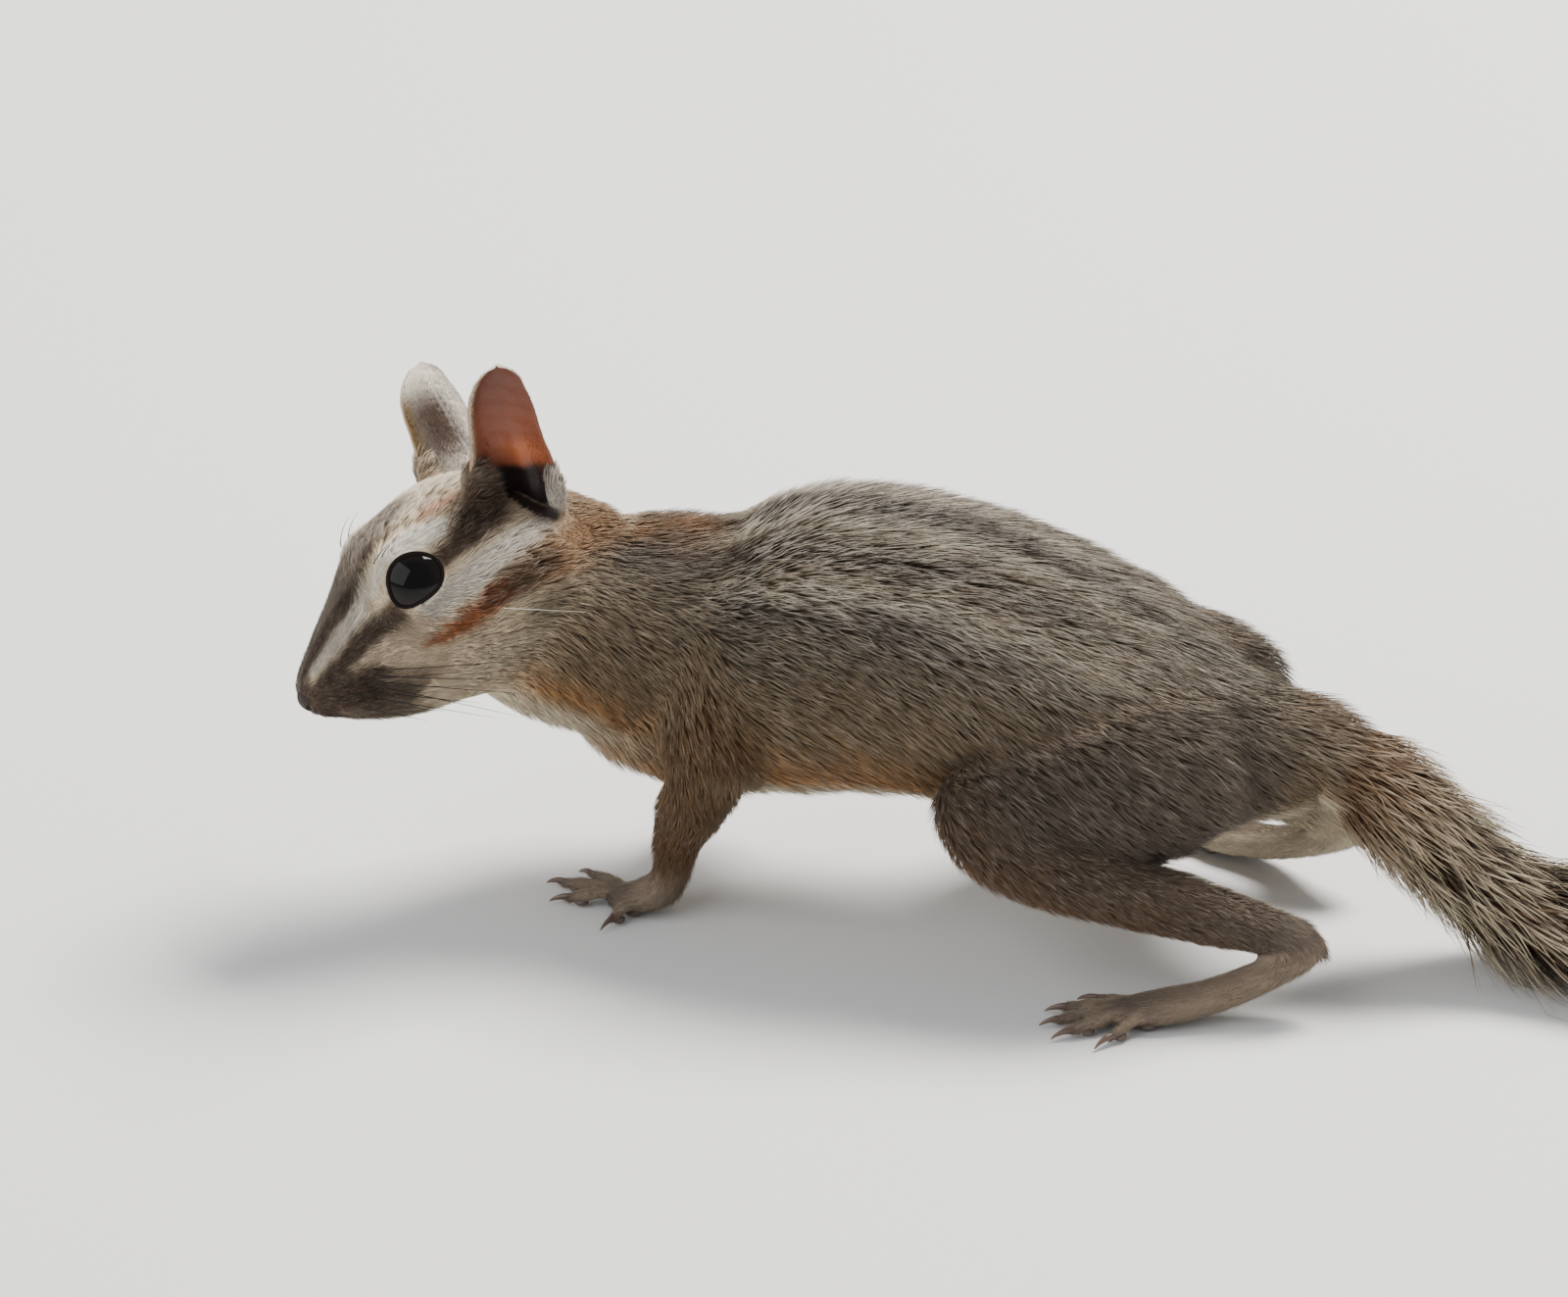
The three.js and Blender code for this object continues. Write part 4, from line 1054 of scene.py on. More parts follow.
# The line of the slit under each ear's root; the slit is painted black there as painted shade in the gap.
EAR_SLIT = ((-31, 4.7, 5.4, 1.4), (-31.3, 6, 4.2, 1.5), (-32.2, 6.9, 2.5, 1.3), (-33, 7.9, 1.2, 0.8))
HEAD_STROKES = (
    Stroke(Tint.AGOUTI, ((-24.5, 9.6, -6.4, 1.7), (-29, 9.4, -7, 3.4), (-35, 8, -7, 4.5)), 0.85, 0.8),
    Stroke(Tint.NAPE, ((-31, 0, 8.4, 5), (-38, 0, 2, 8)), 0.75, 0.7),
    # Pale crown: partly its own grey-cream, partly painted sunlight on the top of the head.
    Stroke(Tint.CROWN, ((-16.5, 0, 9.4, 3.2), (-22, 0, 10.6, 5), (-29, 0, 9.2, 5.5), (-33, 0, 7, 5)), 0.95),
    Stroke(Tint.BRIDGE, (
        (-1.5, 0, 0.8, 1.7), (-6, 0, 3.8, 2.4), (-11, 0, 7, 3.2), (-15, 0, 9.5, 3.3), (-18.4, 0, 10.2, 2.6),
    ), 0.95),
    Stroke(Tint.RUST, ((-21.2, 5, 9.2, 1), (-24.6, 4.9, 9, 1.2)), 0.7, 0.8),
    Stroke(Tint.BROWN, ((-2.6, 0.8, 1.3, 0.8), (-6.6, 1.5, 3.9, 1), (-9.6, 2.7, 5.4, 1.15)), 0.88),
    Stroke(Tint.BROWN, ((-9.6, 2.7, 5.4, 1.15), (-12, 3.5, 6.4, 1.15), (-14.5, 3.3, 8, 1)), 0.88),
    Stroke(Tint.BROWN, ((-14.5, 3.3, 8, 1), (-17, 3.6, 9.2, 0.8), (-19.6, 4.4, 9.6, 0.6)), 0.6),
    Stroke(Tint.STREAK, ((-3.2, 1.9, 1.6, 0.5), (-6.6, 3.1, 2.9, 0.75), (-10.3, 4.6, 4.6, 0.9)), 0.8),
    Stroke(Tint.PALE, (
        (-10.3, 4.6, 4.6, 0.9), (-12.5, 6, 6, 1), (-14.9, 6.4, 8, 1.2), (-18.1, 6.7, 8.6, 1.5),
    ), 0.95),
    # Near-white stripe over the eye: partly its own pale colour, partly painted sunlight.
    Stroke(Tint.BROW, (
        (-15.5, 6.5, 8.4, 1), (-18.4, 6.9, 8.6, 1.7), (-21.2, 7.2, 7.9, 1.4), (-22.4, 7.3, 7.6, 0.9),
    ), 1.0),
    Stroke(Tint.BROWN, (
        (-3.4, 2.9, 0.3, 0.8), (-5.8, 3.9, 0.9, 1.05), (-8.9, 5, 2, 1.2), (-13.4, 7.4, 3, 1.4),
    ), 0.95),
    Stroke(Tint.BROWN, ((-20.6, 8.7, 5, 1.2), (-23.5, 8.4, 5.6, 1.9), (-26.4, 7.7, 6.4, 2.5)), 0.95),
    Stroke(Tint.MUZZLE, ((-26.4, 7.7, 6.4, 2.5), (-28.4, 7, 8, 2.7), (-29.6, 7.8, 11, 1.9)), 0.85, 0.6),
    Stroke(Tint.BLUSH, (
        (-7.6, 5.2, -0.5, 0.6), (-10, 6.2, 0, 0.9), (-12.8, 7.4, 0, 1.4), (-15.5, 9, 0.4, 1.4),
    ), 0.9),
    Stroke(Tint.STREAK, (
        (-15.5, 9.2, 1.3, 1), (-19.7, 9.8, 1.7, 1.4), (-25.9, 10, 2.3, 1.6), (-32, 9.2, 1.2, 1.5),
    ), 0.95),
    Stroke(Tint.LOBE, ((-35.2, 9, 5.6, 1.6), (-34.5, 8, 2, 1.7)), 0.9),
    Stroke(Tint.NAPE, ((-22, 10.3, -1.4, 1.4), (-26, 10.5, -1.5, 2.1), (-30, 10.2, -1.8, 2.5)), 0.85, 0.5),
    Stroke(Tint.NAPE, ((-30, 10.2, -1.8, 2.5), (-34, 9, -2.4, 2.8), (-38, 6, -3, 3.2)), 0.85, 0.6),
    Stroke(Tint.RUST, (
        (-13.4, 8, -1.9, 0.6), (-15.8, 9, -1.7, 1.15), (-19, 10, -1.6, 1.45), (-22.4, 10.4, -1.5, 1.5),
    ), 0.95),
    Stroke(Tint.BROWN, (
        (-19.8, 10.1, -1.4, 0.8), (-23, 10.45, -1.3, 1.7), (-28.5, 10.4, -1.5, 1.6),
    ), 0.75, 0.6),
    Stroke(Tint.SMOKE, ((-7, 4.8, -3.4, 2.5), (-9.6, 5.6, -4.6, 2.3), (-12.2, 6.6, -5, 1.1)), 0.85, 0.6),
    Stroke(Tint.MUZZLE, ((-2, 1.8, -1.8, 1.6), (-5, 3.8, -2.4, 1.9), (-7, 4.7, -3.1, 1)), 0.9, 0.5),
    Stroke(Tint.MUZZLE, (
        (-1.4, 1.4, 0, 1), (-3.6, 3.2, -0.6, 1.2), (-6.8, 4.8, -1.3, 1), (-8.6, 5.5, -1.8, 0.7),
    ), 0.9),
    Stroke(Tint.MUZZLE, ((-0.8, 0, -1.2, 1.7), (-2.4, 1, -4, 1.6)), 0.9),
    Stroke(Tint.CREAM, (
        (-6, 0, -7.8, 1.2), (-10, 0, -10.2, 3.2), (-18, 0, -13, 5.5), (-33, 0, -11, 7),
    ), 0.95),
    Stroke(Tint.CREAM, (
        (-12.4, 5.2, -8, 1), (-16, 7.6, -8.4, 2), (-22, 8.6, -9.2, 3), (-28, 8, -9.6, 3),
    ), 0.65, 0.7),
    Stroke(Tint.MUZZLE, ((-1.5, 1.4, -2.6, 2.6), (-5, 3.2, -4.4, 3.1), (-8.2, 4.3, -6.3, 2.5)), 0.85, 0.45),
    Stroke(Tint.MUZZLE, (
        (-1.5, 0.8, -4, 1.2), (-4, 1.6, -6.2, 1.6), (-7, 2, -8.2, 1.7), (-9.6, 2.4, -9.4, 1.3),
    ), 0.8, 0.6),
    Stroke(Tint.SOOT, (
        (-2.4, 1.8, -4.2, 0.3), (-5.4, 4, -6, 0.35), (-8, 5, -6.9, 0.35), (-10.6, 5.6, -6.7, 0.25),
    ), 0.6),
    # The slit under the ear, painted black as painted shade in the gap.
    Stroke(Tint.SOOT, EAR_SLIT, 1.0),
)


@dataclass(frozen=True)
class Scale:
    """Colours along one measure, such as the angle round the trunk."""

    stops: tuple[tuple[float, Tint], ...]

    def at(self, values: Array) -> Array:
        """The colour between the two stops on either side of each value."""
        places = [place for place, _ in self.stops]
        colours = np.array([tint.linear for _, tint in self.stops])
        return np.stack([np.interp(values, places, colours[:, channel]) for channel in range(3)], axis=-1)


@dataclass(frozen=True)
class Markings:
    """The animal's markings, read by skin and coat alike."""

    head: HeadPlan
    frayed: float = 0.14
    trunk: Scale = Scale((
        (-90, Tint.BELLY), (-66, Tint.BELLY), (-56, Tint.CREAM), (-42, Tint.BUFF), (-14, Tint.FLANK),
        (22, Tint.AGOUTI), (33, Tint.SLATE), (43, Tint.ASH), (51, Tint.AGOUTI), (59, Tint.STRIPE),
        # The silver stop near the top of the back is paler partly as painted sunlight.
        (68, Tint.AGOUTI), (77, Tint.SILVER), (84, Tint.SLATE), (90, Tint.STRIPE),
    ))
    neck: Scale = Scale((
        (-90, Tint.CREAM), (-48, Tint.CREAM), (-30, Tint.BUFF), (-8, Tint.FLANK), (40, Tint.AGOUTI),
        (62, Tint.SLATE), (90, Tint.NAPE),
    ))
    arm: Scale = Scale(((0, Tint.FLANK), (0.5, Tint.TAWNY), (1, Tint.TAWNY)))
    paw: Scale = Scale(((0, Tint.PAW), (0.6, Tint.PAW), (1, Tint.TOE)))
    thigh: Scale = Scale(((0, Tint.RUMP), (0.35, Tint.HAUNCH), (0.8, Tint.HAUNCH), (1, Tint.TAWNY)))
    shank: Scale = Scale(((0, Tint.TAWNY), (0.6, Tint.TAWNY), (1, Tint.PAW)))
    tail: Scale = Scale(((0, Tint.RUMP), (0.12, Tint.TAIL_RUST), (1, Tint.TAIL_RUST)))

    def on_head(self, points: Array) -> Array:
        """The head's colour: the cheek's, with each band laid over the ones before."""
        places = self.head.into(points)
        places[:, 1] = np.abs(places[:, 1])
        places += self.frayed * np.stack([waves(points, 1.3, seed) for seed in (1, 2, 3)], axis=-1)
        colour = np.tile(Tint.CHEEK.linear, (len(points), 1))
        for stroke in HEAD_STROKES:
            colour = blend(colour, stroke.tint.linear, stroke.share(places))
        return colour

    def on_trunk(self, points: Array, share: Array, angle: Array) -> Array:
        """The trunk's colour by the angle from the side, the stripes fading over the rump.

        Args:
            points: The places.
            share: How far along the trunk they are.
            angle: How far round it they are.

        Returns:
            A linear colour for each place.
        """
        turn = np.degrees(np.arctan2(np.sin(angle), np.abs(np.cos(angle))))
        striped = self.trunk.at(turn + 2.6 * waves(points, 5, 4))
        plain = Scale(((-90, Tint.BELLY), (-40, Tint.CREAM), (-20, Tint.FLANK), (90, Tint.RUMP))).at(turn)
        return blend(striped, plain, 0.8 * smooth(0.52, 0.92, share))

    def of_part(self, name: str, points: Array, normals: Array, share: Array, angle: Array) -> Array:
        """The colour that one form gives to places on it.

        Args:
            name: The form's name.
            points: The places.
            normals: The ways that the skin faces there.
            share: How far along the form they are.
            angle: How far round it they are.

        Returns:
            A linear colour for each place.
        """
        kind, _, side = name.rpartition("_")
        if name == "head":
            return self.on_head(points)
        if name == "trunk":
            return self.on_trunk(points, share, angle)
        if name == "neck":
            turn = np.degrees(np.arctan2(np.sin(angle), np.abs(np.cos(angle))))
            return self.neck.at(turn + 4 * waves(points, 6, 5))
        if name == "tail":
            return self.tail.at(share)
        scale = {"upper_arm": self.arm, "forearm": self.arm, "thigh": self.thigh, "shank": self.shank}
        colour = scale.get(kind, self.paw).at(share)
        if kind in ("thigh", "shank"):
            low = (21 - points[:, 2]) / 12 + (26 - points[:, 0]) / 30 + 0.12 * waves(points, 5, 6)
            colour = blend(blend(Tint.HAUNCH.linear, Tint.TAWNY.linear, smooth(0, 1, low)), colour, 0.25)
        outward = normals[:, 1] * (LEFT if side == "left" else RIGHT)
        return blend(colour, Tint.CREAM.linear, 0.75 * smooth(0.1, 0.75, -outward))


# Body


@dataclass
class Reading:
    """What the body says of places on its skin.

    Hair holds the coat's length, lift in degrees, width and number for each square millimetre.
    """

    points: Array
    normals: Array
    lie: Array
    hair: Array
    colour: Array
    owner: Array
    share: Array
    unwrap: Array
    edge: Array

    def mixed(self, corners: Array, weights: Array) -> "Reading":
        """A reading inside triangles, mixed from their corners' with these weights."""
        def mix(values: Array) -> Array:
            return (values[corners] * weights[..., None]).sum(axis=1)

        main = corners[np.arange(len(corners)), weights.argmax(axis=1)]
        return Reading(
            mix(self.points),
            unit(mix(self.normals)),
            unit(mix(self.lie)),
            mix(self.hair),
            mix(self.colour),
            self.owner[main],
            self.share[main],
            self.unwrap[main],
            self.edge[main],
        )

    def only(self, mask: Array) -> "Reading":
        """The reading of some of the places."""
        return Reading(*(getattr(self, name)[mask] for name in self.__dataclass_fields__))


class Body:
    """The forms of the body, and what they say of any place on its skin."""

    sharpness = 0.07

    def __init__(self, anatomy: Anatomy) -> None:
        """Lists the forms."""
        self.anatomy = anatomy
        self.head = anatomy.head
        self.parts = anatomy.parts()
        self.markings = Markings(anatomy.head)
        for plan in FEET:
            for toe in plan.toes:
                self.parts.append(Part(f"toe_{plan.name}", plan.toe_form(toe), anatomy.paw_coat))
        self.names = [part.name for part in self.parts]

    def flow(self, part: Part, points: Array, near: Array, angle: Array) -> Array:
        """The way that a part's hair lies: along it, with a drop on its sides.

        Args:
            part: The form.
            points: The places.
            near: The section nearest to each.
            angle: How far round the form they are.

        Returns:
            A direction for each place.
        """
        if part.pelage.flow is None:
            lie = part.form.along[near]
        else:
            lie = np.tile(unit(np.array(part.pelage.flow)), (len(points), 1))
        lie = lie - np.array(UPRIGHT) * (part.pelage.drop * np.abs(np.cos(angle)))[:, None]
        if part.name == "head":
            lie = self.up_lobes(points, self.round_eyes(points, lie))
        return lie

    def up_lobes(self, points: Array, lie: Array) -> Array:
        """The lie turned upward along each ear on the lobe of fur behind its root."""
        local = self.head.into(points)
        for ear in EARS:
            along, rear, _ = ear.axes.T
            reach = np.linalg.norm(local - (np.array(ear.root) + rear * 4.4 + along), axis=1)
            near = 1.6 * (1 - smooth(2.2, 4.2, reach))
            lie = lie + (self.head.axes @ along) * near[:, None]
        return lie

    def round_eyes(self, points: Array, lie: Array) -> Array:
        """The lie of the face's hair, bent outward round each eye."""
        places = self.head.into(points)
        for side in (LEFT, RIGHT):
            away = places - self.head.mirrored(self.head.eye, side)
            reach = np.linalg.norm(away, axis=1)
            near = np.exp(-np.maximum(reach - 4.4, 0) / 1.6)[:, None]
            outward = (away / reach[:, None]) @ self.head.axes.T
            towards = np.minimum((unit(lie) * outward).sum(-1), 0)[:, None]
            lie = unit(lie) + outward * near * (0.8 - 1.3 * towards)
        return lie

    def read(self, points: Array, normals: Array) -> Reading:
        """What the body says of places on its skin.

        Each form's share falls as exp(-d / sharpness), where d is how much further out of it the place
        lies than of the nearest form. Lie, hair and colour are means over the forms with these shares.

        Args:
            points: The places.
            normals: The ways that the skin faces there.

        Returns:
            The reading.
        """
        spots = [part.form.locate(points) for part in self.parts]
        outs = np.stack([spot[0] for spot in spots])
        nearest = np.sort(outs, axis=0)
        weights = np.exp(-(outs - nearest[0]) / self.sharpness)
        weights /= weights.sum(axis=0)
        lie, hair, colour = (np.zeros((len(points), width)) for width in (3, 4, 3))
        share, angle = np.zeros(len(points)), np.zeros(len(points))
        owner = weights.argmax(axis=0)
        for index, (part, (_, place, turn, near)) in enumerate(zip(self.parts, spots)):
            used = np.flatnonzero(weights[index] > 0.003)
            amount = weights[index][used, None]
            lie[used] += amount * unit(self.flow(part, points[used], near[used], turn[used]))
            hair[used] += amount * part.pelage.at(place[used])
            tint = self.markings.of_part(part.name, points[used], normals[used], place[used], turn[used])
            colour[used] += amount * tint
            mine = owner == index
            share[mine], angle[mine] = place[mine], turn[mine]
        lie = unit(lie - normals * (lie * normals).sum(-1)[:, None])
        unwrap = np.stack([angle / (2 * np.pi) + 0.5, share], axis=-1)
        return Reading(points, normals, lie, hair, colour, owner, share, unwrap, nearest[1] - nearest[0])


# Skin


@dataclass
class Surface:
    """A triangle mesh that is worked on as arrays."""

    points: Array
    triangles: Array

    def __post_init__(self) -> None:
        """Lists the edges, each from both of its ends."""
        pairs = np.vstack([self.triangles[:, [0, 1]], self.triangles[:, [1, 2]], self.triangles[:, [2, 0]]])
        self.edges = np.unique(np.vstack([pairs, pairs[:, ::-1]]), axis=0)
        self.degree = np.bincount(self.edges[:, 0], minlength=len(self.points))

    def around(self, values: Array) -> Array:
        """The mean of each point's neighbours."""
        columns = [
            np.bincount(self.edges[:, 0], weights=values[self.edges[:, 1], column], minlength=len(values))
            for column in range(values.shape[1])
        ]
        return np.stack(columns, axis=-1) / np.maximum(self.degree, 1)[:, None]

    def relax(self, amount: Array | float, rounds: int, keep: float = 0.0) -> None:
        """Moves each point part of the way to its neighbours' middle and, for keep, back out again.

        Args:
            amount: The share of the way, for all points or for each.
            rounds: How many times.
            keep: How much of each round's loss of volume is put back.
        """
        share = np.broadcast_to(amount, len(self.points))[:, None]
        for _ in range(rounds):
            self.points += share * (self.around(self.points) - self.points)
            if keep:
                self.points -= keep * share * (self.around(self.points) - self.points)

    def normals(self) -> Array:
        """The normals of the points, each the sum of its triangles' own, weighted by their size."""
        a, b, c = (self.points[self.triangles[:, corner]] for corner in range(3))
        faces = np.cross(b - a, c - a)
        found = np.zeros_like(self.points)
        for corner in range(3):
            for column in range(3):
                found[:, column] += np.bincount(
                    self.triangles[:, corner], weights=faces[:, column], minlength=len(found)
                )
        return unit(found)

    def evened(self, lie: Array, normals: Array, rounds: int = 14) -> Array:
        """Directions as a mean of their own and their neighbours', kept in the surface's plane."""
        for _ in range(rounds):
            lie = 0.5 * lie + 0.5 * self.around(lie)
            lie = unit(lie - normals * (lie * normals).sum(-1)[:, None])
        return lie


@dataclass
class Skin:
    """The one skin of the whole body, under the coat."""

    body: Body
    voxel: float = 0.5
    quick_voxel: float = 0.8
    lid_stand: float = 0.32
    swelling_depth: float = 0.35
    eye_depth: float = 0.6
    mouth_depth: float = 0.5
    mouth_width: float = 0.4
    crease_rounds: int = 46
    nodes: tuple[str, ...] = (
        "head", "neck", "torso_chest", "torso_loin", "torso_rump", "tail_root", "tail_middle", "tail_end",
    )
    limbs: tuple[str, ...] = ("upper_arm", "forearm", "forepaw", "thigh", "shank", "hind_foot")

    def fused(self) -> Surface:
        """The forms drawn in by their coat and fused into one closed surface by a voxel remesh."""
        head = self.body.head
        shapes = [part.flesh.surface() for part in self.body.parts]
        shapes += head.swellings(self.swelling_depth)
        shapes += [swelling for ear in EARS for swelling in ear.swellings(head)]
        for side in (LEFT, RIGHT):
            radii = np.full(3, head.eye_radius + self.lid_stand)
            points, triangles = ball(head.mirrored(head.eye, side), radii)
            shapes.append((head.out(points), triangles))
        raw = mesh_object("skin_forms", *joined(shapes))
        remesh = raw.modifiers.new("Fuse", "REMESH")
        remesh.mode = "VOXEL"
        remesh.voxel_size = self.voxel * MM
        made = raw.evaluated_get(bpy.context.evaluated_depsgraph_get())
        mesh = made.to_mesh()
        points = np.empty(len(mesh.vertices) * 3, np.float32)
        mesh.vertices.foreach_get("co", points)
        mesh.calc_loop_triangles()
        triangles = np.empty(len(mesh.loop_triangles) * 3, np.int32)
        mesh.loop_triangles.foreach_get("vertices", triangles)
        made.to_mesh_clear()
        old = raw.data
        bpy.data.objects.remove(raw)
        bpy.data.meshes.remove(old)
        places = points.reshape(-1, 3).astype(float) / MM - Frame.shift
        return Surface(places, triangles.reshape(-1, 3).astype(int))

    def open_eyes(self, surface: Surface) -> None:
        """Draws the skin back inside the eyeball, within the opening of the lids."""
        head = self.body.head
        places = head.into(surface.points)
        for side in (LEFT, RIGHT):
            angle, reach = head.outside_lids(places, side)
            inside = (angle < 1) & (reach < head.eye_radius + 1.5)
            drawn = unit(places - head.mirrored(head.eye, side)) * (head.eye_radius - self.eye_depth)
            places[inside] = (head.mirrored(head.eye, side) + drawn)[inside]
        surface.points = head.out(places)

    def cut_mouth(self, surface: Surface) -> None:
        """Presses the line of the mouth into the muzzle: a groove of depth exp(-(d / width)^2)."""
        head = self.body.head
        places = head.into(surface.points)
        near = np.flatnonzero((places[:, 0] > -14) & (places[:, 2] < 0))
        flat = places[near] * (1, 0, 1)
        line = np.array([[x, 0, z] for x, z in head.mouth])
        gap, _ = line_distance(flat, line)
        depth = self.mouth_depth * np.exp(-((gap / self.mouth_width) ** 2))
        surface.points[near] -= surface.normals()[near] * depth[:, None]

    def build(self) -> Surface:
        """Fuses the forms, rounds the creases between them, opens the eyes and cuts the mouth."""
        surface = self.fused()
        surface.relax(0.6, 5, 1.04)
        reading = self.body.read(surface.points, surface.normals())
        small = np.isin(reading.owner, [i for i, n in enumerate(self.body.names) if "toe" in n or "paw" in n])
        crease = np.exp(-reading.edge / 0.16) * np.where(small, 0.12, 0.5)
        surface.relax(crease * (1 - self.near_eyes(surface.points)), self.crease_rounds)
        surface.relax(0.5, 3, 1.04)
        self.cut_mouth(surface)
        self.open_eyes(surface)
        return surface

    def near_eyes(self, points: Array) -> Array:
        """One within 4.8 mm of an eye's middle, falling to nothing at 7 mm."""
        head = self.body.head
        places = head.into(points)
        gaps = [np.linalg.norm(places - head.mirrored(head.eye, side), axis=1) for side in (LEFT, RIGHT)]
        return 1 - smooth(4.8, 7.0, np.min(gaps, axis=0))

    def dress(self, surface: Surface, reading: Reading, material: Material) -> None:
        """Makes the skin's piece, painted by the reading, in place of the solids of flesh."""
        limbs = [f"{limb}_{word}" for limb in self.limbs for word in SIDE_NAMES.values()]
        shape = (surface.points, surface.triangles)
        add_piece("skin", shape, reading.colour, material, [*self.nodes, *limbs])


# Coat


@dataclass
class Tufts:
    """Places and shapes of many tufts, one row each."""

    root: Array
    normal: Array
    lie: Array
    length: Array
    lift: Array
    width: Array
    base: Array
    middle: Array
    end: Array
    unwrap: Array
    seed: int
    rings: int = 2
    clump: float = 1.6
    gather: float = 0.45
    thick: float = 0.3
    sunk: float = 0.06
    floor: float = 0.05

    def spines(self) -> Array:
        """The middle lines, from the root to the tip, bending down from steep to flat on their way."""
        draw = np.random.default_rng(self.seed)
        count = len(self.root)
        across = np.cross(self.normal, self.lie)
        sway = draw.normal(0, 0.16, (count, 1))
        heading = unit(self.lie + across * sway)
        steps = self.rings
        line = [self.root - self.normal * (self.length * self.sunk)[:, None]]
        for step in range(steps):
            share = (step + 0.5) / steps
            angle = np.radians(self.lift * (1.55 - 1.1 * share))[:, None]
            reach = (self.length / steps)[:, None]
            line.append(line[-1] + reach * (np.cos(angle) * heading + np.sin(angle) * self.normal))
            heading = unit(heading + across * sway * 0.5)
        spine = np.stack(line, axis=1)
        shaken = self.root + 0.5 * np.stack([waves(self.root, 3.5, seed) for seed in (21, 22, 23)], -1)
        cell = np.floor(shaken / self.clump).astype(np.int64) + CELLS // 2
        _, group = np.unique((cell[:, 0] * CELLS + cell[:, 1]) * CELLS + cell[:, 2], return_inverse=True)
        tip = spine[:, -1]
        sums = np.stack([np.bincount(group, weights=tip[:, axis]) for axis in range(3)], -1)
        pull = ((sums / np.bincount(group)[:, None])[group] - tip) * self.gather
        share = np.linspace(0, 1, steps + 1) ** 1.6
        spine = spine + pull[:, None] * share[None, :, None]
        spine[:, :, 2] = np.maximum(spine[:, :, 2], self.floor)
        return spine

    def mesh(self) -> tuple[Array, Array, Array, Array]:
        """The tufts as closed three-sided blades, one point at the tip.

        Returns:
            Points, triangles, a colour for each point and an unwrapped place for each corner.
        """
        count, rings = len(self.root), self.rings
        spine = self.spines()
        across = np.cross(self.normal, self.lie)
        share = np.arange(rings) / rings
        wide = self.width[:, None] * np.interp(share, [0, 0.5, 1], [0.8, 1.0, 0.3])
        left = spine[:, :-1] + across[:, None] * wide[..., None] / 2
        right = spine[:, :-1] - across[:, None] * wide[..., None] / 2
        ridge = spine[:, :-1] + self.normal[:, None] * (wide * self.thick)[..., None]
        body = np.stack([left, right, ridge], axis=2).reshape(count, rings * 3, 3)
        points = np.concatenate([body, spine[:, -1:]], axis=1)
        one = [[0, 1, 2]]
        for ring in range(rings - 1):
            for side in range(3):
                a, b = ring * 3 + side, ring * 3 + (side + 1) % 3
                one += [[a, a + 3, b], [b, a + 3, b + 3]]
        last = (rings - 1) * 3
        one += [[last + side, rings * 3, last + (side + 1) % 3] for side in range(3)]
        one = facing_out(points[0], np.array(one))
        size = rings * 3 + 1
        triangles = (one[None] + (np.arange(count) * size)[:, None, None]).reshape(-1, 3)
        stops = np.concatenate([np.repeat(share, 3), [1.0]])[None, :, None]
        rise, high = np.clip(stops / 0.5, 0, 1), np.clip((stops - 0.5) / 0.5, 0, 1)
        low = self.base[:, None] * (1 - rise) + self.middle[:, None] * rise
        colours = (low * (1 - high) + self.end[:, None] * high).reshape(-1, 3)
        spread = np.array([[-1, -0.6], [1, -0.6], [0, 1]]) * UNWRAP_PATCH
        corners = np.tile(spread, (len(one), 1))
        unwrap = (self.unwrap[:, None] + corners[None]).reshape(-1, 2)
        return points.reshape(-1, 3), triangles, colours, unwrap


def coat_piece(name: str, tufts: Sequence[Tufts], fur: Material) -> None:
    """Makes one piece of the coat from sets of tufts, each tuft with a patch of its own in the unwrap.

    Args:
        name: The piece's name.
        tufts: The sets.
        fur: The finish of the hair.
    """
    places = np.vstack([group.unwrap for group in tufts])
    low, size = places.min(axis=0), np.ptp(places, axis=0)
    for group in tufts:
        group.unwrap = UNWRAP_EDGE + (1 - 2 * UNWRAP_EDGE) * (group.unwrap - low) / size
    made = [group.mesh() for group in tufts]
    shape = joined([(entry[0], entry[1]) for entry in made])
    piece = add_piece(name, shape, np.vstack([entry[2] for entry in made]), fur)
    layer = piece.data.uv_layers.new(name="OFBake")
    layer.data.foreach_set("uv", np.vstack([entry[3] for entry in made]).astype(np.float32).ravel())


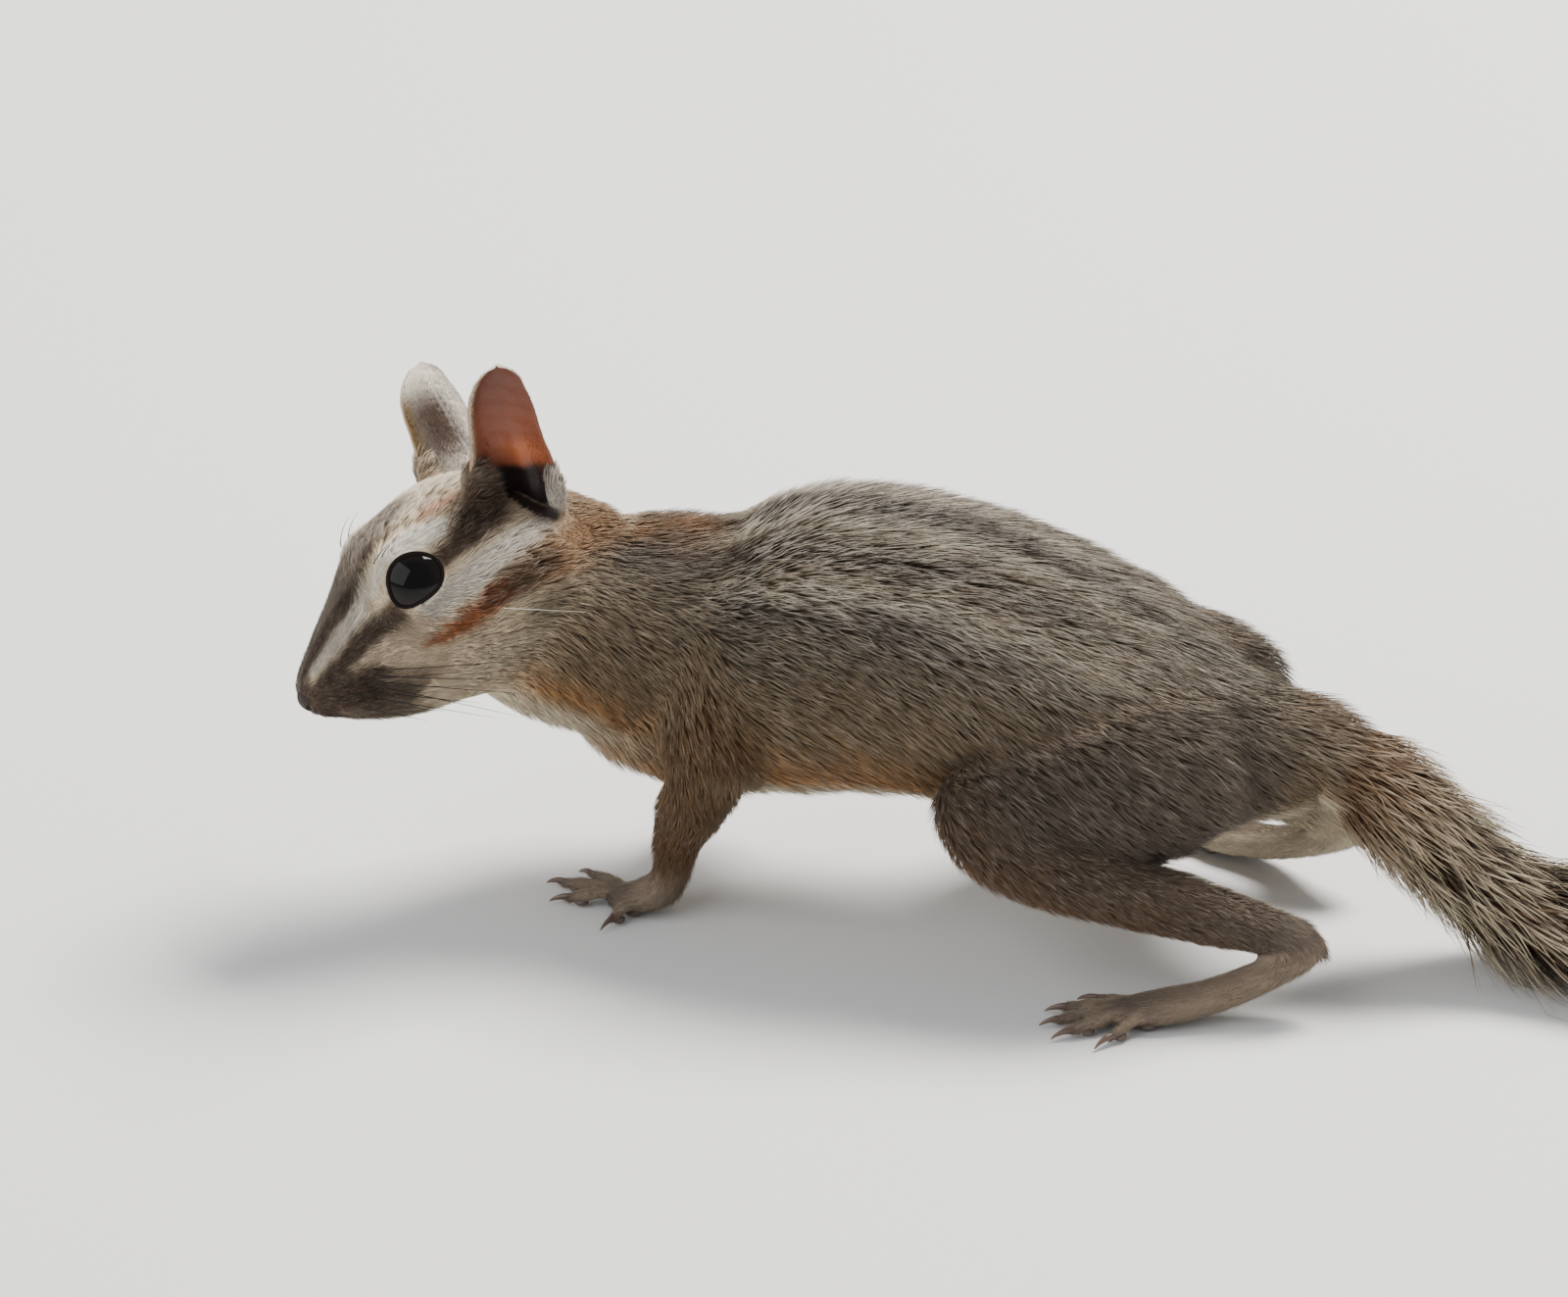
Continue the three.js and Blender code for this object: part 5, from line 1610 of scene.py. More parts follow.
@dataclass
class Coat:
    """The coat: tufts on the skin along its lie, coloured by its markings."""

    body: Body
    short: float = 1.75
    lid_margin: float = 4.5
    lid_reach: float = 1.6
    slit_room: float = 1.1
    nose_room: Triple = (1.3, 1.75, 1.4)
    # Roots darker than the hair's middle: partly the hair's own dark base, partly painted shade among the
    # hairs.
    root_shade: float = 0.72
    least_lift: float = 5.0
    tail_split: float = 0.42
    face_end: float = -15.0
    loin_start: float = 2.0
    rump_start: float = 26.0

    def piece_of(self, reading: Reading) -> Array:
        """The name of the coat piece that each tuft belongs to."""
        names = np.array(self.body.names)[reading.owner]
        kinds = np.array([name.split("_")[0] for name in self.body.names])[reading.owner]
        ahead, across, _ = self.body.head.into(reading.points).T
        x = reading.points[:, 0]
        side = np.where(reading.points[:, 1] < 0, "left", "right")
        rear = np.where(x < self.rump_start, "coat_loin_", "coat_rump_")
        zone = np.where(x < self.loin_start, "coat_chest_", rear)
        cheek = np.char.add("coat_cheek_", np.where(across > 0, "left", "right"))
        pieces = {
            "head": np.where(ahead > self.face_end, "coat_face", cheek),
            "neck": np.char.add("coat_neck_", side),
            "trunk": np.char.add(zone, side),
            "upper": "coat_forelegs",
            "forearm": "coat_forelegs",
            "thigh": np.char.add("coat_", names),
            "shank": "coat_shanks",
            "tail": np.where(reading.share < self.tail_split, "coat_tail_front", "coat_tail_rear"),
        }
        return np.select([kinds == kind for kind in pieces], list(pieces.values()), "coat_feet")

    def roots(self, surface: Surface, reading: Reading) -> Reading:
        """Places for the roots, drawn at random over the skin with each triangle's area times its number."""
        draw = np.random.default_rng(SEED)
        a, b, c = (surface.points[surface.triangles[:, corner]] for corner in range(3))
        area = np.linalg.norm(np.cross(b - a, c - a), axis=1) / 2
        number = area * reading.hair[surface.triangles, 3].mean(axis=1) * DETAIL
        chosen = np.repeat(np.arange(len(area)), np.floor(number + draw.random(len(area))).astype(int))
        weights = draw.dirichlet((1, 1, 1), len(chosen))
        return reading.mixed(surface.triangles[chosen], weights)

    def clear(self, places: Reading) -> Array:
        """Where hair grows: not on an eye, inside its lids, in the slit under an ear or on the nose pad."""
        head = self.body.head
        local = head.into(places.points)
        keep = np.ones(len(local), bool)
        for side in (LEFT, RIGHT):
            angle, reach = head.outside_lids(local, side)
            keep &= ~((angle < self.lid_margin) & (reach < head.eye_radius + self.lid_reach))
        mirrored = local * (1, 0, 1) + np.abs(local) * (0, 1, 0)
        slit, _ = line_distance(mirrored, np.array(EAR_SLIT))
        keep &= slit > self.slit_room
        keep &= np.linalg.norm((local - np.array(head.nose)) / self.nose_room, axis=1) > 1
        return keep

    def tufts(self, places: Reading, seed: int) -> Tufts:
        """Tufts at places on the body, each with its own length, lift, width and agouti colour."""
        draw = np.random.default_rng(seed)
        count = len(places.points)
        length = places.hair[:, 0] * draw.uniform(0.75, 1.2, count)
        lift = places.hair[:, 1] * draw.uniform(0.7, 1.25, count) + 3 * waves(places.points, 7, 31)
        width = places.hair[:, 2] * draw.uniform(0.75, 1.25, count)
        tone = draw.normal(1, 0.1, (count, 1)) * (1 + 0.06 * waves(places.points, 3, 32))[:, None]
        colour = np.clip(places.colour * tone, 0, 1)
        lobes = self.near_lobes(places.points)
        lids = self.near_lids(places.points)
        inner = np.isin(places.owner, self.grizzled) * smooth(0.0, 0.3, places.edge)
        # On the trunk, tufts on upward-facing skin more often get pale tips: partly the coat's own frosting,
        # partly painted sunlight on the top of the back.
        back = 0.12 + inner * (0.14 + 0.34 * smooth(0.2, 0.9, places.normals[:, 2]))
        frosted_and_sunlit = draw.random(count) < back
        tip = blend(colour * 0.9, Tint.FROST.linear, np.where(frosted_and_sunlit, 0.36 + 0.6 * back, 0.06))
        return Tufts(
            places.points, places.normals, places.lie,
            length * (1 - 0.3 * lobes) * (1 - 0.6 * lids) * (1 - 0.75 * self.near_slits(places.points)),
            np.maximum(lift * (1 - 0.15 * lobes), self.least_lift), width * (1 - 0.25 * lids),
            # The roots take the darker root colour: partly the hair's own dark base, partly painted shade.
            colour * self.root_shade, colour, tip, places.unwrap, seed,
        )

    def near_slits(self, points: Array) -> Array:
        """One at the slit under each ear, falling to nothing 3 mm from it."""
        gap, _ = line_distance(np.abs(self.body.head.into(points)) * (-1, 1, 1), np.array(EAR_SLIT))
        return 1 - smooth(1.2, 3.0, gap)

    def near_lids(self, points: Array) -> Array:
        """One at the lids' edges, falling to nothing 28 degrees outside them."""
        local = self.body.head.into(points)
        found = np.zeros(len(points))
        for side in (LEFT, RIGHT):
            angle, reach = self.body.head.outside_lids(local, side)
            near = (1 - smooth(4, 28, angle)) * (reach < self.body.head.eye_radius + 2)
            found = np.maximum(found, near)
        return found

    def near_lobes(self, points: Array) -> Array:
        """One at the lobes of fur behind the ears' roots, falling to nothing around them."""
        gaps = []
        for ear in EARS:
            along, rear, _ = ear.axes.T
            lobe = np.array(ear.root) + rear * 4.2
            line = np.stack([lobe - along * 3, lobe + along * 4])
            gaps.append(line_distance(self.body.head.into(points), line)[0])
        return 1 - smooth(1.8, 4.0, np.min(gaps, axis=0))

    @property
    def grizzled(self) -> list[int]:
        """The numbers of the forms whose coat has pale tips, more of them on upward-facing skin as painted
        sunlight.
        """
        return [index for index, name in enumerate(self.body.names) if name == "trunk"]

    def tail_tufts(self, places: Reading, seed: int) -> Tufts:
        """Long tufts of the tail: rust at the root, then black, then pale at the tip."""
        draw = np.random.default_rng(seed)
        made = self.tufts(places, seed)
        grown = smooth(0.05, 0.3, places.share)
        tone = draw.normal(1, 0.12, (len(grown), 1))
        made.base = blend(made.middle, Tint.TAIL_RUST.linear * tone, grown)
        made.middle = blend(made.middle, Tint.TAIL_BLACK.linear * tone, grown * 0.9)
        made.end = blend(made.end, Tint.TAIL_TIP.linear * tone, grown)
        made.rings = 4
        made.clump = 2.4
        made.gather = 0.35
        return made

    def dress(self, surface: Surface, reading: Reading, material: Material) -> None:
        """Grows the coat piece by piece."""
        places = self.roots(surface, reading)
        places = places.only(self.clear(places))
        names = self.piece_of(places)
        for index, name in enumerate(sorted(set(names.tolist()))):
            mine = places.only(names == name)
            owners, column = np.unique(mine.owner, return_inverse=True)
            strip = np.stack([column, 0 * column], axis=-1)
            mine.unwrap = (mine.unwrap * (0.96, 1) + strip) / (len(owners), 1)
            grow = self.tail_tufts if name.startswith("coat_tail") else self.tufts
            short = mine.hair[:, 0] < self.short
            groups = [
                grow(mine.only(mask), SEED + index * 2 + number)
                for number, mask in enumerate((short, ~short))
                if mask.any()
            ]
            if short.any():
                groups[0].gather = 0.2
            if groups[0].length.max() < self.short * 1.3:
                groups[0].rings = 1
                groups[0].base = groups[0].middle
            coat_piece(name, groups, material)

    @staticmethod
    def slot_of(name: str) -> str:
        """The record's slot for a coat piece."""
        kinds = {"face": "face_fur", "cheek": "face_fur", "tail": "tail_fur", "chest": "body_fur",
                 "loin": "body_fur", "rump": "body_fur", "neck": "body_fur"}
        return kinds.get(name.split("_")[1], "leg_fur")


# Head pieces


@dataclass
class Eyes:
    """The eyes: glossy balls under a dark rim of lid with a corner before and behind."""

    head: HeadPlan
    rim: float = 0.15
    pupil: float = 0.002
    iris: Triple = (0.007, 0.0045, 0.004)

    def ball(self, side: int, material: Material) -> None:
        """An eyeball: black, with a very dark brown iris round the pupil."""
        centre = self.head.mirrored(self.head.eye, side)
        points, triangles = ball(np.zeros(3), np.full(3, self.head.eye_radius), 64, 40)
        axes = self.head.eye_axes(side)
        turned = points[:, [2, 0, 1]] @ axes.T
        word = SIDE_NAMES[side]
        place = self.head.out(turned + centre)
        polar = np.degrees(np.arccos(np.clip(points[:, 2] / self.head.eye_radius, -1, 1)))
        colour = blend(np.full((len(points), 3), self.pupil), np.array(self.iris), smooth(24, 34, polar))
        shape = (place, facing_out(place, triangles))
        add_piece(f"eyeball_{word}", shape, colour, material, [f"eye_{word}"])

    def lid(self, side: int) -> tuple[Array, Array, Array]:
        """The lid's rim: a tube on the ball, whose angle from the middle grows at the two corners."""
        turn = np.linspace(0, 2 * np.pi, 72, endpoint=False)
        forward, upward = np.cos(turn), np.sin(turn)
        polar = np.radians(self.head.lid_angle(forward, upward))
        axes = self.head.eye_axes(side)
        heading = np.stack([np.cos(polar), np.sin(polar) * forward, np.sin(polar) * upward], axis=1) @ axes.T
        middle = heading * (self.head.eye_radius + 0.1)
        outside = unit(heading - (heading @ axes[:, 0])[:, None] * axes[:, 0])
        angle = np.linspace(0, 2 * np.pi, 12, endpoint=False)
        thick = self.rim * (1 + 0.25 * np.clip(upward, 0, 1))
        ring = (
            middle[:, None]
            + outside[:, None] * (np.cos(angle)[None] * thick[:, None] * 1.25)[..., None]
            + heading[:, None] * (np.sin(angle)[None] * thick[:, None])[..., None]
        )
        grid = np.arange(len(turn) * len(angle)).reshape(len(turn), len(angle))
        beside, above = np.roll(grid, -1, axis=1), np.roll(grid, -1, axis=0)
        a, b, c, d = (corner.ravel() for corner in (grid, beside, above, np.roll(beside, -1, axis=0)))
        triangles = np.vstack([np.stack([a, b, d], 1), np.stack([a, d, c], 1)])
        points = self.head.out(ring.reshape(-1, 3) + self.head.mirrored(self.head.eye, side))
        shade = np.tile(Tint.SOOT.linear * 0.4, (len(points), 1))
        return points, facing_out(points, triangles), shade

    def dress(self, gloss: Material, bare: Material) -> None:
        """Makes both eyes and both rims."""
        for side in (LEFT, RIGHT):
            self.ball(side, gloss)
            points, triangles, shade = self.lid(side)
            add_piece(f"lid_{SIDE_NAMES[side]}", (points, triangles), shade, bare)


@dataclass
class Nose:
    """The bare nose pad with its groove and two comma-shaped nostrils."""

    head: HeadPlan
    radii: Triple = (1.55, 2.0, 1.65)
    nostril: tuple[float, float] = (0.62, -0.3)
    colour: Triple = (0.024, 0.016, 0.013)

    def dress(self, bare: Material) -> None:
        """The pad: an ellipsoid pressed in along its middle line and at the nostrils."""
        points, triangles = ball(np.zeros(3), np.ones(3), 72, 48)
        y, z = points[:, 1], points[:, 2]
        groove = 0.16 * np.exp(-((y / 0.07) ** 2)) * smooth(-0.9, -0.1, -z + 0.2)
        side = np.abs(y)
        hole_y, hole_z = self.nostril
        slit = ((side - hole_y) / 0.2) ** 2 + ((z - hole_z - 0.5 * (side - hole_y)) / 0.14) ** 2
        hole = np.exp(-slit) * (points[:, 0] > -0.2)
        scale = 1 - groove - 0.42 * hole
        shaped = points * scale[:, None] * self.radii + np.array(self.head.nose)
        # The nostrils are painted almost black and the groove darker: painted shade in the holes and the
        # crease.
        shade = (1 - 0.93 * np.clip(hole * 1.4, 0, 1) - 0.4 * groove)[:, None]
        shape = (self.head.out(shaped), triangles)
        add_piece("nose_pad", shape, np.array(self.colour) * shade, bare, ["nose"])


@dataclass
class Ears:
    """The ears: thin cups of bare skin with a rolled front rim, short hair behind and a fringe."""

    head: HeadPlan
    half_widths: tuple[float, ...] = (4.6, 4.75, 4.45, 4, 3.75, 3.6, 3.25, 2.55, 1.35)
    cup_depths: tuple[float, ...] = (3.1, 3, 2.7, 2.3, 1.95, 1.6, 1.25, 0.9, 0.5)
    wall: float = 0.5
    thinning: float = 0.35
    reach: float = 0.97
    spacing: float = 0.9
    sunk: float = 2.5
    lean: float = 0.45
    rows: int = 56
    columns: int = 40
    flesh: Triple = (0.2, 0.056, 0.026)
    flesh_top: Triple = (0.12, 0.038, 0.022)
    # Brighter orange low at the rear: painted light shining through the thin skin, on its own orange.
    flesh_backlit_glow: Triple = (0.46, 0.13, 0.045)
    # Painted shade in the ear's hole.
    hole_painted_shade: Triple = (0.012, 0.007, 0.006)
    # The pale front rim: partly its own colour, partly painted rim light.
    flesh_rim_and_rim_light: Triple = (0.6, 0.42, 0.28)

    def place(self, ear: EarPlan, share: Array, t: Array, lift: Array | float = 0.0) -> Array:
        """A place on the cup: up by share, from the front rim at t = -1 to the rear rim at 1.

        It lies half(share) t across and c(share) (1 - t^2) + lift (1 - 0.35 t^2) behind the rims, where
        c is the cup's depth. The tip leans rearward.

        Args:
            ear: The ear.
            share: How far up it.
            t: How far across it.
            lift: How far behind the cup's inner face.

        Returns:
            Places in the head's frame.
        """
        along, rear, opening = ear.axes.T
        stops = np.linspace(0, 1, len(self.half_widths))
        end = np.sqrt(np.clip(1 - np.clip((share - 0.9) / 0.1, 0, 1) ** 2, 0, 1))
        half = np.interp(np.clip(share, 0, 1), stops, self.half_widths) * (0.15 + 0.85 * end)
        cup = np.interp(np.clip(share, 0, 1), stops, self.cup_depths)
        up = np.where(share > 0, np.abs(share) ** self.spacing, share) * ear.length * self.reach
        deep = -cup * (1 - t * t) - lift * (1 - self.thinning * t * t)
        local = (
            np.array(ear.root)
            + up[..., None] * along
            + (half * t + self.lean * smooth(0.75, 1.0, share))[..., None] * rear
            + deep[..., None] * opening
        )
        return local

    def relief(self, share: Array, t: Array) -> Array:
        """Folds inside the cup: a rolled front rim, a ridge that climbs from the root and fine pleats."""
        rim = 0.75 * np.exp(-(((t + 0.9) / 0.13) ** 2)) * (1 - smooth(0.7, 1.0, share))
        ridge = 0.6 * np.exp(-(((t - 0.35 + 0.5 * share) / 0.16) ** 2)) * (1 - smooth(0.2, 0.62, share))
        notch = -1.1 * np.exp(-(((share - 0.1) / 0.11) ** 2) - ((t + 0.35) / 0.3) ** 2)
        pleat = 0.05 * np.sin(share * 46 + 3 * t) * (1 - t * t)
        return rim + ridge + notch + pleat

    def thickness(self, share: Array, t: Array) -> Array:
        """The wall's thickness, with room for the folds that run deeper than the cup."""
        return self.wall + np.maximum(-self.relief(share, t), 0)

    def shell(self, ear: EarPlan) -> tuple[Array, Array, Array]:
        """The ear's closed surface and colours: inside forward over t, and back over the outside."""
        share = np.concatenate([[-self.sunk / 18, -0.06], np.linspace(0, 1, self.rows - 2)])[:, None]
        t = np.linspace(-1, 1, self.columns // 2)[None]
        inner = self.place(ear, share + 0 * t, t + 0 * share, -self.relief(share, t))
        outer = self.place(ear, share + 0 * t, t[:, ::-1] + 0 * share, self.thickness(share, t[:, ::-1]))
        rings = np.concatenate([inner, outer], axis=1)
        poles = np.stack([rings[0].mean(axis=0), rings[-1].mean(axis=0)])
        local = np.vstack([rings.reshape(-1, 3), poles])
        points = self.head.out(local)
        triangles = facing_out(points, tube_faces(len(rings), rings.shape[1]))
        halves = [self.inside_colour(share, t), self.outside_colour(share, t[:, ::-1])]
        colour = np.concatenate(halves, axis=1)
        shades = np.vstack([colour.reshape(-1, 3), colour[0, :1], colour[-1, :1]])
        return points, triangles, shades

    def inside_colour(self, share: Array, t: Array) -> Array:
        """Bare red-brown skin, darker at the top, with painted shade in the hole, painted light shining
        through low at the rear, and pale in front, partly its own colour and partly painted rim light.
        """
        grid = np.broadcast_to(share, np.broadcast_shapes(share.shape, t.shape))
        colour = blend(self.flesh, self.flesh_top, smooth(0.35, 0.95, grid))
        # Brighter orange low at the rear: painted light shining through the thin skin.
        bright = np.exp(-(((t - 0.35) / 0.5) ** 2) - ((share - 0.27) / 0.1) ** 2)
        colour = blend(colour, self.flesh_backlit_glow, 0.75 * bright)
        # The hole is painted almost black: painted shade.
        hole = (1 - smooth(0.12, 0.18, share - 0.03 * t)) * smooth(-0.75, -0.4, t)
        colour = blend(colour, self.hole_painted_shade, hole * (1 - smooth(0.86, 0.98, t)))
        # The front rim is paler: partly its own colour, partly painted rim light.
        return blend(colour, self.flesh_rim_and_rim_light, 0.6 * (smooth(0.8, 1.0, -t) + 0 * share))

    def outside_colour(self, share: Array, t: Array) -> Array:
        """The back of the ear: whitish, golden low on its front edge, greyer behind, with a brown middle."""
        grid = np.broadcast_to(share, np.broadcast_shapes(share.shape, t.shape))
        grey = blend(Tint.PALE.linear, Tint.LOBE.linear, 0.6 * smooth(0.2, 0.7, t + 0 * grid))
        gold = (1 - smooth(-0.95, -0.6, t)) * (1 - smooth(0.62, 0.85, grid))
        dark = np.exp(-(((t + 0.32) / 0.68) ** 4) - ((grid - 0.46) / 0.34) ** 4)
        return blend(blend(grey, Tint.GOLD.linear, gold), Tint.EARTH.linear, dark)

    def hair(self, ear: EarPlan, seed: int) -> list[Tufts]:
        """Short hair on the back of the ear, a fringe on its rims and soft hair at its root."""
        draw = np.random.default_rng(seed)
        _, rear, opening = ear.axes.T
        groups = []
        for column, (count, span, rims, lift, behind) in enumerate((
            (5600, (0.0, 0.98), 0.93, 11, True),
            (1200, (0.02, 0.97), 0.0, 10, True),
            (420, (0.1, 0.9), 0.12, 8, False),
            (420, (0.02, 0.4), 0.5, 11, False),
        )):
            count = int(count * DETAIL)
            share = draw.uniform(*span, count)
            side = np.sign(draw.uniform(-1, 1, count)) if behind or lift > 8 else -np.ones(count)
            t = side * (1 - rims * draw.random(count) - 0.07 * draw.random(count))
            depth = self.thickness(share, t) if behind else -self.relief(share, t)
            step = 0.02
            here = self.place(ear, share, t, depth)
            up = self.place(ear, share + step, t, depth) - here
            aside = self.place(ear, share, t + step, depth) - here
            out = unit(np.cross(up, aside))
            facing = (out @ opening)[:, None]
            out = np.where((facing > 0) == behind, -out, out)
            if rims == 0:
                out = unit(out + 0.8 * np.sign(t)[:, None] * rear)
            lie = unit(up) + 0.4 * rear * np.abs(t)[:, None]
            lie = unit(lie - out * (lie * out).sum(-1)[:, None])
            colour = self.hair_colour(share, t, behind, draw)
            length = draw.uniform(0.6, 1.0, count) * (1 - 0.4 * share)
            strip = (column + 4 * (ear.side == RIGHT), 0)
            place = (np.stack([t / 2 + 0.5, share], -1) + strip) / (8, 1)
            groups.append(Tufts(
                self.head.out(here), out @ self.head.axes.T, lie @ self.head.axes.T, length,
                # The roots are darker: partly the hair's own dark base, partly painted shade among the hairs.
                np.full(count, float(lift)), np.full(count, 0.09), colour * 0.85, colour,
                blend(colour, Tint.FROST.linear, np.full(count, 0.05)), place, seed,
                rings=1, clump=1.1, gather=0.15,
            ))
        return groups

    def hair_colour(self, share: Array, t: Array, behind: bool, draw: np.random.Generator) -> Array:
        """The skin's own colour on the back of the ear; rust inside it, but pale on its front rim, partly the
        rim's own colour and partly painted rim light.

        Args:
            share: How far up the ear the hairs stand.
            t: How far across it.
            behind: Whether they stand on its back.
            draw: The random draws.

        Returns:
            A linear colour for each hair.
        """
        tone = draw.normal(1, 0.12, (len(share), 1))
        if not behind:
            # Pale on the front rim: partly the rim's own colour, partly painted rim light.
            front = smooth(0.75, 0.95, -t)
            return blend(Tint.RUST.linear * 0.7, Tint.CREAM.linear, front) * tone
        return np.clip(self.outside_colour(share, t) * tone, 0, 1)

    def dress(self, bare: Material, fur: Material) -> None:
        """Makes both ears and their hair."""
        groups = []
        for index, ear in enumerate(EARS):
            points, triangles, shades = self.shell(ear)
            name = f"ear_{SIDE_NAMES[ear.side]}"
            add_piece(f"{name}_shell", (points, triangles), shades, bare, [name])
            groups += self.hair(ear, SEED + 60 + index)
        coat_piece("coat_ears", groups, fur)


@dataclass
class Whiskers:
    """Long hairs that sweep back from the whisker pads, and a few above each eye and on the cheek."""

    head: HeadPlan
    rows: int = 4
    columns: int = 3
    thick: float = 0.07
    pale_thick: float = 0.035
    end_thick: float = 0.015

    def lines(self, side: int) -> list[Array]:
        """The middle lines of one side's whiskers, fanned by row and longer towards the rear."""
        draw = np.random.default_rng(SEED + 80 + side)
        found = []
        for row in range(self.rows):
            for column in range(self.columns):
                root = np.array([-4.6 - 1.8 * column, 3.7 + 0.75 * column, -1.3 - 0.85 * row])
                rise = -0.42 - 0.15 * row + draw.normal(0, 0.05)
                length = 10 + 3.4 * column + draw.normal(0, 0.8)
                start = unit(np.array([-0.5, 0.8, 0.5 * rise]))
                finish = unit(np.array([-0.8, 0.3, rise]))
                found.append(self.curve(root, start, finish, length))
        for root, start, finish, length in (
            ((-14.5, 6.2, 8.3), (-0.4, 0.7, 0.5), (-0.9, 0.3, 0.2), 4.2),
            ((-15.6, 6.4, 8.4), (-0.5, 0.6, 0.5), (-0.9, 0.2, 0.2), 3.6),
            ((-22.5, 10.2, -3), (-0.6, 0.6, -0.4), (-0.76, 0.27, -0.59), 9),
        ):
            ends = unit(np.array(start)), unit(np.array(finish))
            found.append(self.curve(np.array(root, float), *ends, length))
        return [line * (1, -side, 1) for line in found]

    @staticmethod
    def curve(root: Array, start: Array, finish: Array, length: float) -> Array:
        """A line that leaves one way and turns into another, as the sum of short steps between the two.

        Args:
            root: Where it starts.
            start: The way it leaves.
            finish: The way it ends.
            length: Its length.

        Returns:
            Its points.
        """
        share = np.linspace(0, 1, 12)[:, None] ** 0.7
        steps = unit(start * (1 - share) + finish * share) * length / 11
        return root + np.vstack([np.zeros(3), np.cumsum(steps[:-1], axis=0)])

    def dress(self, fur: Material) -> None:
        """Makes all the whiskers as one piece of thin tapering tubes."""
        shapes, shades = [], []
        for side in (LEFT, RIGHT):
            for index, line in enumerate(self.lines(side)):
                place = self.head.out(line)
                pale = index == self.rows * self.columns + 2
                thick = np.linspace(self.pale_thick if pale else self.thick, self.end_thick, len(place))
                form = Loft.on_path(np.column_stack([place, thick, thick]), (0.1, 0.3, 1), 1, domes=(0.5, 1))
                points, triangles = form.surface(5)
                shapes.append((points, triangles))
                tone = Tint.FROST.linear if pale else Tint.SOOT.linear * 0.6
                shades.append(np.tile(tone, (len(points), 1)))
        add_piece("whiskers", joined(shapes), np.vstack(shades), fur)


# Feet pieces


@dataclass
class Claws:
    """The claws, one piece for each foot, and the bare pads under toes and soles."""

    pad: Triple = (1.0, 0.8, 0.55)
    pad_colour: Triple = (0.11, 0.075, 0.062)
    horn_root: Triple = (0.035, 0.022, 0.016)
    horn_end: Triple = (0.12, 0.08, 0.05)

    def dress(self, horn: Material, bare: Material) -> None:
        """Makes the claws and pads."""
        pads = []
        for plan in FEET:
            shapes, tints = [], []
            for toe in plan.toes:
                form = plan.claw_form(toe)
                points, triangles = form.surface(14)
                _, share, _, _ = form.locate(points)
                shapes.append((points, triangles))
                tints.append(blend(self.horn_root, self.horn_end, smooth(0.3, 1, share)))
                heart, ahead, top = plan.line(toe)
                for place, size in ((0.82, 0.8), (0.3, 1.0)):
                    spot = heart + ahead * toe.reach * place + top * 0.62
                    pads.append(ball(spot, np.array(self.pad) * size, 16, 10))
            nodes = [f"claw_{plan.name}_{number + 1}" for number in range(len(plan.toes))]
            add_piece(f"claws_{plan.name}", joined(shapes), np.vstack(tints), horn, nodes)
        points, triangles = joined(pads)
        points[:, 2] = np.maximum(points[:, 2], 0.02)
        colours = np.tile(self.pad_colour, (len(points), 1))
        add_piece("paw_pads", (points, triangles), colours, bare)


# Studio


@dataclass(frozen=True)
class Lamp:
    """A soft square lamp: where it stands, its side in metres, its power and its colour."""

    name: str
    place: Triple
    size: float
    power: float
    colour: Triple = (1.0, 1.0, 1.0)


